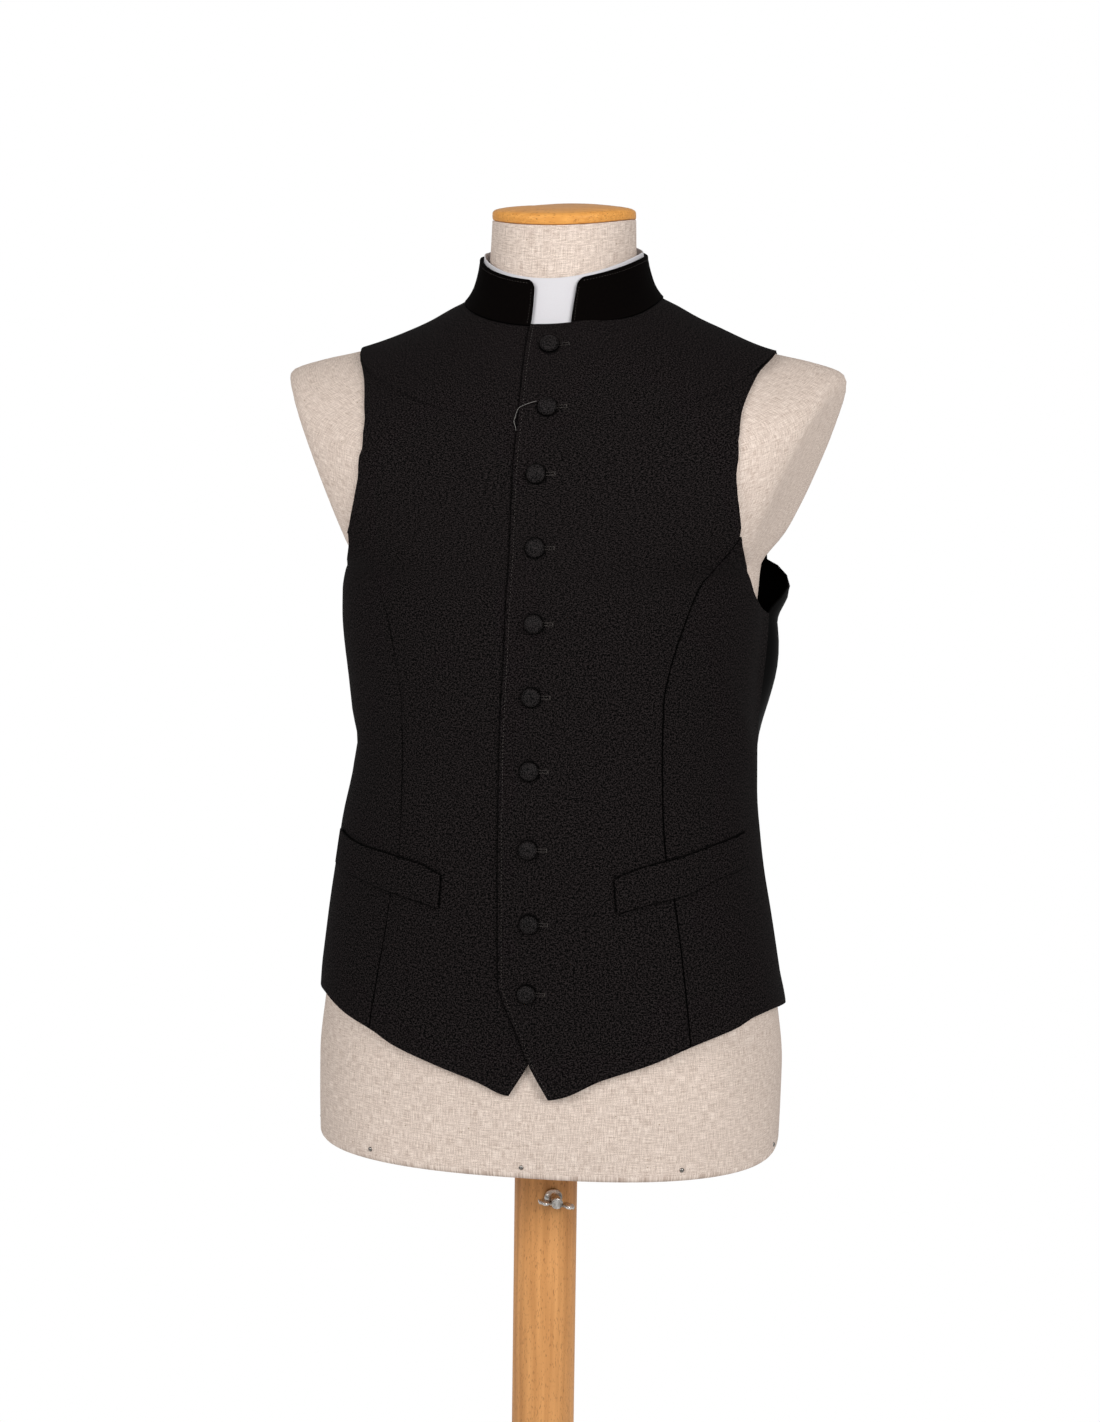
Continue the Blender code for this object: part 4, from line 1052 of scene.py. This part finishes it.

# THE POCKET WELTS
# A folded strip of the same wool on each front, over the mouth of a pocket. Its lower edge and ends are
# sewn down, and the mouth is the dark line along its top, deepened with the wool's painted shade.
LEFT_WELT = (
    # turn, low way, high way
    (23.8, 220.5, 248.0), (32.0, 226.9, 256.5), (43.3, 233.0, 263.0), (54.0, 242.6, 269.0),
    (70.5, 248.8, 274.4),
)
RIGHT_WELT = (
    # turn, low way, high way
    (21.8, 218.6, 245.2), (28.7, 223.0, 252.7), (41.6, 228.7, 257.3), (50.0, 232.2, 258.7),
    (57.0, 233.5, 260.5), (68.0, 236.0, 265.0),
)
WELT_THICKNESS = 1.8
WELT_GAP = 0.7
WELT_STEPS = (0.0, 0.4, 1.0, 2.0)
WELT_LENGTH = 120.0
WELT_COLUMNS = 30
WELT_HEIGHT = 27.0
WELT_ROWS = 6
WELT_ROLLS = (0.9, 0.8, 0.9, 0.9)
welt_across = shares(WELT_LENGTH, WELT_STEPS, WELT_STEPS, WELT_COLUMNS)
welt_up = shares(WELT_HEIGHT, WELT_STEPS, WELT_STEPS, WELT_ROWS)
for side, word, table in ((1, "left", LEFT_WELT), (-1, "right", RIGHT_WELT)):
    edges = Curves(table)
    places = {}
    for column, u in enumerate(welt_across):
        turn = table[0][0] + (table[-1][0] - table[0][0]) * u
        low, high = edges.at(turn)
        for row, t in enumerate(welt_up):
            places[column, row] = Vector((side * math.radians(turn), low + (high - low) * t))
    piece = panel(f"wool_welt_{word}", places, welt_across, welt_up, WELT_THICKNESS, WELT_ROLLS, wool,
                  lambda here, face, from_edge: WOOL + WELT_GAP)
    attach(piece, "bust")
    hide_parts(f"welt_{word}")

# THE STANDING COLLAR
# A stiffened band of the same wool, denser and darker for its interlining. It stands round the neck,
# open at the front, with rounded corners and a line of stitches inside its edge.
COLLAR_LEFT_X = 22.6
COLLAR_RIGHT_X = -8.2
COLLAR_FRONT_TOP = 849.0
COLLAR_BACK_TOP = 857.0
COLLAR_HEIGHT = 37.0
COLLAR_CORNER = 8.0
COLLAR_FLARE = 2.8
COLLAR_THICKNESS = 2.8
COLLAR_ROLL = 1.0
COLLAR_FOOT_ROLL = 0.5
COLLAR_LAP = 0.2
COLLAR_ENDS = (0.0, 0.3, 0.7, 1.2, 2.0, 3.0, 4.0, 6.0, 8.0)
COLLAR_COLUMNS = 110
COLLAR_TOP_STEPS = (0.0, 0.3, 0.7, 1.2, 2.0, 3.0, 4.0)
COLLAR_ROWS = 8
BAND_FLOAT = 3.0

# Interlined worsted wool: the same cloth, fused to a stiff layer, so its tooth is flatter and darker.
band_wool, tree, surface, flat_cloth = new_material("interlined_black_wool", cloth=True)
tooth_lines = add_node(tree, "Mapping", {"Vector": flat_cloth,
                                         "Scale": (1 / MM / WOOL_YARN, 1 / MM / BAND_FLOAT, 1)})
tooth = add_node(tree, "TexNoise", {"Vector": tooth_lines, "Scale": 1.0, "Detail": 3.0})
tone = add_node(tree, "Mix", {0: tooth, 6: "#020101", 7: "#0A0706"}, data_type="RGBA")
relief = add_node(tree, "Bump", {"Height": tooth, "Strength": 0.4, "Distance": 0.12 * MM})
# Painted shade, as on the fronts, darkens the band under its edges and where it meets other pieces
set_inputs(tree, surface, {"Base Color": painted_groove_shade(tree, tone), "Normal": relief, "Roughness": 0.85,
                           "Specular IOR Level": 0.02})


def collar_top(turn):
    """The way of the collar's top edge."""
    share = (1 + math.cos(turn)) / 2
    return COLLAR_BACK_TOP + (COLLAR_FRONT_TOP - COLLAR_BACK_TOP) * share**2


def wrapped(turn):
    """The same turn, counted from minus half a turn to half a turn."""
    return turn - FULL_TURN if turn > math.pi else turn


neckline_way = NECKLINE.at(0)[0]
collar_starts = [turn_at(COLLAR_LEFT_X, way) for way in (neckline_way, COLLAR_FRONT_TOP)]
collar_ends = [FULL_TURN + turn_at(COLLAR_RIGHT_X, way) for way in (neckline_way, COLLAR_FRONT_TOP)]
collar_length = FULL_TURN * cloth_point(QUARTER, neckline_way).x
collar_across = shares(collar_length, COLLAR_ENDS, COLLAR_ENDS, COLLAR_COLUMNS)
collar_up = shares(COLLAR_HEIGHT, WELT_STEPS, COLLAR_TOP_STEPS, COLLAR_ROWS)


def collar_place(share, rise):
    """A place on the band: a share of its length, and a share of its height."""
    start = collar_starts[0] + (collar_starts[1] - collar_starts[0]) * rise
    end = collar_ends[0] + (collar_ends[1] - collar_ends[0]) * rise
    turn = start + (end - start) * share
    inward = COLLAR_CORNER - min(share, 1 - share) * collar_length
    corner = COLLAR_CORNER - math.sqrt(COLLAR_CORNER**2 - inward**2) if inward > 0 else 0.0
    foot_way = NECKLINE.at(math.degrees(wrapped(turn)))[0] - COLLAR_LAP
    return Vector((turn, foot_way + (collar_top(turn) - corner - foot_way) * rise))


def collar_point(share, rise, out):
    """A point of the band, in millimetres, at a height over its inside."""
    turn, way = collar_place(share, rise)
    return cloth_point(wrapped(turn), way, COLLAR_FLARE * rise + out)


def band_wall(column, row, face):
    """A point of the band's wall, which is rounded off at its edges and dimpled by its stitches."""
    share, rise = collar_across[column], collar_up[row]
    from_end = min(share, 1 - share) * collar_length
    from_top, from_foot = (1 - rise) * COLLAR_HEIGHT, rise * COLLAR_HEIGHT
    edge = max(rolled(min(from_end, from_top), COLLAR_ROLL), rolled(from_foot, COLLAR_FOOT_ROLL))
    if not face:
        return to_world(collar_point(share, rise, edge))
    dimple = max(bump((distance - STITCH_INSET) / DIMPLE_REACH) for distance in (from_end, from_top))
    return to_world(collar_point(share, rise, COLLAR_THICKNESS - edge - STITCH_DIMPLE * dimple))


def band_flat(column, row):
    return collar_across[column] * collar_length * MM, collar_up[row] * COLLAR_HEIGHT * MM


shape = bent_grid(len(collar_across) - 1, len(collar_up) - 1, band_wall, band_flat, wall=True)
band = finish_piece("standing_collar_band", shape, band_wool, merge=0.001 * MM)
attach(band, "bust")
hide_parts("collar_band")

# THE WHITE COLLAR
# A plain white cotton collar, starched smooth, worn inside the band. It shows in the band's opening and
# as a thin line above its top edge.
WHITE_THICKNESS = 1.3
WHITE_FOOT = -2.1
WHITE_TOP = 0.9
WHITE_FOOT_WAY = 810.0
WHITE_PROUD = 3.0
WHITE_ROLL = 0.6
WHITE_SIDES = 160
WHITE_HEIGHT = 42.0
WHITE_FOOT_STEPS = (0.0, 0.3, 0.7)
WHITE_TOP_STEPS = (0.0, 0.15, 0.35, 0.65, 1.2)
WHITE_ROWS = 12

# Starched white cotton: a tight plain weave ironed flat under starch, cool white and faintly smooth,
# with a weave that is only just felt.
cotton, tree, surface, flat_cloth = new_material("starched_white_cotton", cloth=True)
fine_weave = add_node(tree, "TexNoise", {"Vector": flat_cloth, "Scale": 1200.0, "Detail": 2.0})
tone = add_node(tree, "Mix", {0: fine_weave, 6: "#CECBCE", 7: "#DAD8DB"}, data_type="RGBA")
relief = add_node(tree, "Bump", {"Height": fine_weave, "Strength": 0.25, "Distance": 0.06 * MM})
set_inputs(tree, surface, {"Base Color": tone, "Normal": relief, "Roughness": 0.55,
                           "Specular IOR Level": 0.25})

white_up = shares(WHITE_HEIGHT, WHITE_FOOT_STEPS, WHITE_TOP_STEPS, WHITE_ROWS)
white_section = [(rise, 0) for rise in white_up] + [(rise, 1) for rise in reversed(white_up)] + [(0.0, 0)]


def white_ring(column, ring, face):
    """A point of the white collar, up its inside, over its top edge and down its outside."""
    turn = FULL_TURN * column / WHITE_SIDES
    rise, outside = white_section[ring]
    way = WHITE_FOOT_WAY + (collar_top(turn) + WHITE_PROUD - WHITE_FOOT_WAY) * rise
    edge = rolled((1 - rise) * WHITE_HEIGHT, WHITE_ROLL)
    height = WHITE_FOOT + (WHITE_TOP - WHITE_FOOT) * rise + (WHITE_THICKNESS - edge if outside else edge)
    return to_world(cloth_point(wrapped(turn), way, height))


def white_flat(column, ring):
    return FULL_TURN * column / WHITE_SIDES * NECK_REACH * MM, white_section[ring][0] * WHITE_HEIGHT * MM


shape = bent_grid(WHITE_SIDES, len(white_section) - 1, white_ring, white_flat)
white_band = finish_piece("white_clerical_collar", shape, cotton, merge=0.005 * MM)
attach(white_band, "bust")
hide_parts("white_collar")

# THE COVERED BUTTONS
# Ten round moulds, each covered with a circle of ribbed black cloth that is drawn up and fixed under
# the dome, and sewn on close to the right front through the left front's buttonholes.
BUTTONS = (
    # x, way
    (9.8, 790.5), (13.2, 724.5), (7.7, 646.7), (8.8, 543.5), (8.6, 453.3), (6.6, 393.0), (5.3, 332.1),
    (5.3, 270.1), (6.6, 211.0), (4.9, 154.8),
)
BUTTON_PROFILE = (
    # radius, height over the cloth
    (0, 0.4), (4.5, 0.4), (6.4, 0.5), (7.1, 0.9), (7.5, 1.5), (7.6, 2.1), (7.4, 2.8), (6.9, 3.5),
    (6.0, 4.25), (4.8, 4.9), (3.3, 5.4), (1.6, 5.7), (0, 5.8),
)
BUTTON_SIDES = 40
BUTTON_TUCKS = 18
TUCK_DEPTH = 0.16
TUCKS_FROM = 5.0
TUCKS_BELOW = 3.0

# Ribbed barathea: a fine black cloth with a pebbled rib, drawn tight over the mould, so the dome shows
# a faint grey grain with a soft light on it. The ribs are 0.5 mm apart, drawn 1 mm.
button_cloth, tree, surface, place = new_material("black_barathea")
ribs = add_node(tree, "TexVoronoi", {"Vector": place, "Scale": 1000.0, "Randomness": 0.7})
pebbles = add_node(tree, "MapRange", {"Value": ribs, "From Max": 0.65})
tone = add_node(tree, "Mix", {0: pebbles, 6: "#3B3636", 7: "#010101"}, data_type="RGBA")
relief = add_node(tree, "Bump", {"Height": pebbles, "Strength": 0.8, "Distance": -0.3 * MM})
# Painted shade darkens the foot of the dome where it meets the cloth
set_inputs(tree, surface, {"Base Color": painted_groove_shade(tree, tone), "Normal": relief, "Roughness": 0.5,
                           "Specular IOR Level": 0.06})


def front_frame(x, way, out=0.0):
    """A frame on the left front, over its outer face: X across, Y up, Z out, one unit a millimetre."""
    turn = turn_at(x, way)
    point, direction = cloth_line(turn, way)
    point += direction * (WOOL + front_lap(x) + out)
    return surface_frame(point, direction, ring_step(turn, way))


for number, (x, way) in enumerate(BUTTONS, 1):
    shape = turned(BUTTON_PROFILE, BUTTON_SIDES, Matrix.Identity(4))
    for vert in shape.verts:
        radius = math.hypot(vert.co.x, vert.co.y)
        if radius > TUCKS_FROM and vert.co.z < TUCKS_BELOW:
            tuck = 1 - TUCK_DEPTH / radius * (1 + math.cos(BUTTON_TUCKS * math.atan2(vert.co.y, vert.co.x)))
            vert.co.x *= tuck
            vert.co.y *= tuck
    bmesh.ops.transform(shape, matrix=front_frame(x, way), verts=shape.verts)
    piece = finish_piece(f"covered_button_{number:02d}", shape, button_cloth, sharp=60)
    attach(piece, "bust")
    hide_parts(f"button_{number:02d}")

# THE BUTTONHOLES
# Worked by machine in black buttonhole thread: two rows of close stitches round a slit, with a bar at
# the end. Each runs from under its button towards the wearer's left.
HOLE_START = 5.0
HOLE_END = 13.5
HOLE_HALF_WIDTH = 1.1
HOLE_STEP = 0.95
HOLE_STITCH = (0.36, 1.3, 0.32)
BAR_STITCH = (0.5, 4.4, 0.45)
HOLE_LIFT = 0.12
BAR_LIFT = 0.15


def spun_thread(name, twist_scale, detail, dark, light, roughness, specular):
    """Spun thread, lighter and darker by turns along it."""
    material, tree, surface, place = new_material(name)
    twist = add_node(tree, "TexNoise", {"Vector": place, "Scale": twist_scale, "Detail": detail})
    tone = add_node(tree, "Mix", {0: twist, 6: dark, 7: light}, data_type="RGBA")
    set_inputs(tree, surface, {"Base Color": tone, "Roughness": roughness, "Specular IOR Level": specular})
    return material


# Polyester sewing thread: black, twisted tight and slightly glossy. Its colour runs up to grey, a painted
# sheen, so that it reads as light specks on the matte wool.
sewing_thread = spun_thread("black_sewing_thread", 1500.0, 1.0, "#1C1918", "#6A625E", 0.5, 0.3)


def add_stitch(shape, seat, size):
    """One stitch: a small rounded bead, with its sizes along the frame's axes in millimetres."""
    bmesh.ops.create_uvsphere(
        shape, u_segments=6, v_segments=4, radius=0.5, matrix=seat @ Matrix.Diagonal((*size, 1))
    )


shape = bmesh.new()
for x, way in BUTTONS:
    for index in range(round((HOLE_END - HOLE_START) / HOLE_STEP) + 1):
        hole = front_frame(x + HOLE_START + HOLE_STEP * index, way, HOLE_LIFT)
        for half in (1, -1):
            add_stitch(shape, hole @ Matrix.Translation((0, half * HOLE_HALF_WIDTH, 0)), HOLE_STITCH)
    add_stitch(shape, front_frame(x + HOLE_END + HOLE_STEP, way, BAR_LIFT), BAR_STITCH)
buttonholes = finish_piece("worked_buttonholes", shape, sewing_thread, merge=0.0001 * MM)
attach(buttonholes, "bust")

# THE TOPSTITCHING
# A single row of black lockstitch, 3 mm inside the left front's edge and its cutaway, and inside the
# ends and the top of the standing collar.
STITCH_LENGTH = 2.75
STITCH_SIZE = (0.38, 1.3, 0.4)
# How high a stitch's middle lies over the pressed dimple of the fronts, and over that of the collar
FRONT_STITCH_LIFT = 0.08
COLLAR_STITCH_LIFT = -0.05
# A row starts this far over the fronts' points and ends this far under the neckline. On the right front
# it ends at the way where the left front covers it.
ROW_START = 4
ROW_END = 1
RIGHT_ROW_TOP = 97
ROW_POINTS = 200
END_RISE = 0.03
END_POINTS = 30
CORNER_POINTS = 4
TOP_POINTS = 400


def add_row(shape, points, outs):
    """A row of stitches along a line of points in millimetres, with the direction out at each."""
    carried = 0.0
    for start, end, out in zip(points, points[1:], outs):
        step = end - start
        length = step.length
        while carried < length:
            seat = surface_frame(start + step * (carried / length), out, step.cross(out))
            add_stitch(shape, seat, STITCH_SIZE)
            carried += STITCH_LENGTH
        carried -= length


shape = bmesh.new()
for side in (1, -1):
    top_way = NECKLINE.at(0)[0] - ROW_END if side > 0 else RIGHT_ROW_TOP
    points, outs = [], []
    for way in spread(FRONT_EDGES[0][0] + ROW_START, top_way, ROW_POINTS):
        turn, way = aside(front_edge_place(side, way), side * STITCH_INSET)
        point, out = cloth_line(turn, way)
        lap = front_lap(form_point(turn, way).x) if side > 0 else 0.0
        points.append(point + out * (WOOL + lap - STITCH_DIMPLE + FRONT_STITCH_LIFT))
        outs.append(out)
    add_row(shape, points, outs)
rises = spread(END_RISE, 1 - STITCH_INSET / COLLAR_HEIGHT, END_POINTS)
end_share = STITCH_INSET / collar_length
corner_share = COLLAR_CORNER / collar_length
row_shares = [(end_share, rise) for rise in rises[:-CORNER_POINTS]]
row_shares += [(share, rises[-1]) for share in spread(corner_share, 1 - corner_share, TOP_POINTS)]
row_shares += [(1 - end_share, rise) for rise in reversed(rises[:-CORNER_POINTS])]
stitch_height = COLLAR_THICKNESS - STITCH_DIMPLE + COLLAR_STITCH_LIFT
points = [collar_point(share, rise, stitch_height) for share, rise in row_shares]
add_row(shape, points, [form_normal(*collar_place(share, rise)) for share, rise in row_shares])
topstitching = finish_piece("topstitching", shape, sewing_thread, merge=0.0001 * MM)
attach(topstitching, "bust")

# THE LOOSE THREAD
# A pale end of basting thread left hanging from the second button. It loops over the edge and lies on
# the cloth.
THREAD_PLACES = (
    # x, way, height over the left front's outer face
    (5.0, 730.0, 2.2), (0.0, 728.5, 2.0), (-5.5, 725.5, 1.5), (-9.5, 723.0, 0.9), (-11.0, 714.5, -1.2),
    (-13.0, 708.0, -1.6), (-10.2, 703.5, -1.6), (-10.2, 698.5, -1.6),
)
THREAD_RADIUS = 0.24

# Undyed cotton thread: soft, hairy and matte.
loose_cotton = spun_thread("grey_basting_thread", 1300.0, 2.0, "#4A4745", "#8C8884", 0.9, 0.1)

curve = bpy.data.curves.new("loose_thread", "CURVE")
curve.dimensions = "3D"
curve.bevel_depth = THREAD_RADIUS * MM
curve.bevel_resolution = 2
curve.use_fill_caps = True
spline = curve.splines.new("NURBS")
spline.points.add(len(THREAD_PLACES) - 1)
spline.order_u = 4
spline.use_endpoint_u = True
for spot, (x, way, height) in zip(spline.points, THREAD_PLACES):
    spot.co = (*front_frame(x, way, height).translation, 1.0)
curve.materials.append(loose_cotton)
thread_curve = add_object("loose_thread_curve", curve)
bpy.context.view_layer.update()
set_curve = thread_curve.evaluated_get(bpy.context.evaluated_depsgraph_get())
loose_thread = add_object("loose_thread", bpy.data.meshes.new_from_object(set_curve))
bpy.data.objects.remove(thread_curve)
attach(loose_thread, "bust")

# THE STUDIO
# A wide pale floor that runs out into a white backdrop, a soft even room light, two soft boxes at the
# front, a weaker one behind, and the camera a little to the wearer's left, as in the photograph.
FLOOR_RADIUS = 8.0
FLOOR_SIDES = 96
FLOOR_CLEAR = 0.35
FLOOR_WHITE = 0.8
SEEN_WHITE = 1.0
ROOM_FRONT = 0.26
ROOM_BACK = 0.44
FLOOR_GLOW = 0.62


def seen_or_felt(tree, felt):
    """White where the backdrop is looked at, and the given strength where it only lights the form."""
    looked_at = add_node(tree, "LightPath", {}, "Is Camera Ray")
    return add_node(tree, "Mix", {0: looked_at, 2: felt, 3: SEEN_WHITE}, data_type="FLOAT")


# Matt white paint, lit from below beyond the foot's surroundings, so that no horizon shows
floor_paint, tree, surface, place = new_material("pale_floor_paint")
mottle = add_node(tree, "TexNoise", {"Vector": place, "Scale": 1.5, "Detail": 2.0})
tone = add_node(tree, "Mix", {0: mottle, 6: "#EFEFEF", 7: "#F4F4F4"}, data_type="RGBA")
reach = add_node(tree, "VectorMath", {0: place}, "Value", operation="LENGTH")
far = add_node(tree, "MapRange", {"Value": reach, "From Min": FLOOR_CLEAR, "From Max": FLOOR_WHITE},
               interpolation_type="SMOOTHSTEP")
tone = add_node(tree, "Mix", {0: far, 6: tone, 7: "#000000"}, data_type="RGBA")
glow = add_node(tree, "Math", {0: far, 1: seen_or_felt(tree, FLOOR_GLOW)}, operation="MULTIPLY")
set_inputs(tree, surface, {"Base Color": tone, "Emission Strength": glow, "Emission Color": "#FFFFFF",
                           "Roughness": 0.9, "Specular IOR Level": 0.0})
shape = bmesh.new()
bmesh.ops.create_circle(shape, cap_ends=True, radius=FLOOR_RADIUS, segments=FLOOR_SIDES)
floor = finish_piece("floor", shape, floor_paint)

world = bpy.data.worlds.new("white_studio")
world.use_nodes = True
tree = world.node_tree
looking = add_node(tree, "TexCoord", {}, "Generated")
ahead = add_node(tree, "SeparateXYZ", {"Vector": looking}, "Y")
bright = add_node(tree, "MapRange", {"Value": ahead, "From Min": 0.4, "From Max": 0.8, "To Min": ROOM_FRONT,
                                     "To Max": ROOM_BACK}, interpolation_type="SMOOTHSTEP")
set_inputs(tree, tree.nodes["Background"], {"Color": "#FFFFFF", "Strength": seen_or_felt(tree, bright)})
bpy.context.scene.world = world

SOFT_BOXES = (
    # place, size and power
    ((-1.6, -2.3, 2.2), 1.3, 43.0),
    ((1.9, -2.1, 2.1), 1.3, 55.0),
    ((-0.6, 2.6, 0.9), 0.9, 22.0),
)
AIM = Vector((0, 0, 1.0))


def aimed(place, target):
    """A frame at a place that looks at a target, with its top upwards."""
    look = (target - place).to_track_quat("-Z", "Y").to_matrix().to_4x4()
    return Matrix.Translation(place) @ look


for number, (place, size, power) in enumerate(SOFT_BOXES, 1):
    light = bpy.data.lights.new(f"soft_box_{number}", "AREA")
    light.size = size
    light.energy = power
    lamp = add_object(light.name, light)
    lamp.matrix_world = aimed(Vector(place), AIM)

CAMERA_TURN = math.radians(9.74)
CAMERA_DISTANCE = 1.87
CAMERA_HEIGHT = 1.191
CAMERA_ROLL = math.radians(-0.75)
TARGET_HEIGHT = 0.985
TARGET_ASIDE = -0.0018
FOCAL_PIXELS = 2251.0
PHOTO_HEIGHT = 1422
SENSOR_HEIGHT = 36.0
camera_data = bpy.data.cameras.new("photo_camera")
camera_data.sensor_fit = "VERTICAL"
camera_data.sensor_height = SENSOR_HEIGHT
camera_data.lens = FOCAL_PIXELS / PHOTO_HEIGHT * SENSOR_HEIGHT
camera = add_object("photo_camera", camera_data)
sideways = Vector((math.cos(CAMERA_TURN), math.sin(CAMERA_TURN), 0))
spot = Vector((math.sin(CAMERA_TURN), -math.cos(CAMERA_TURN), 0)) * CAMERA_DISTANCE
spot.z = CAMERA_HEIGHT
target = sideways * TARGET_ASIDE
target.z = TARGET_HEIGHT
camera.matrix_world = aimed(spot, target) @ Matrix.Rotation(-CAMERA_ROLL, 4, "Z")
bpy.context.scene.camera = camera
bpy.context.scene.view_settings.view_transform = "Standard"
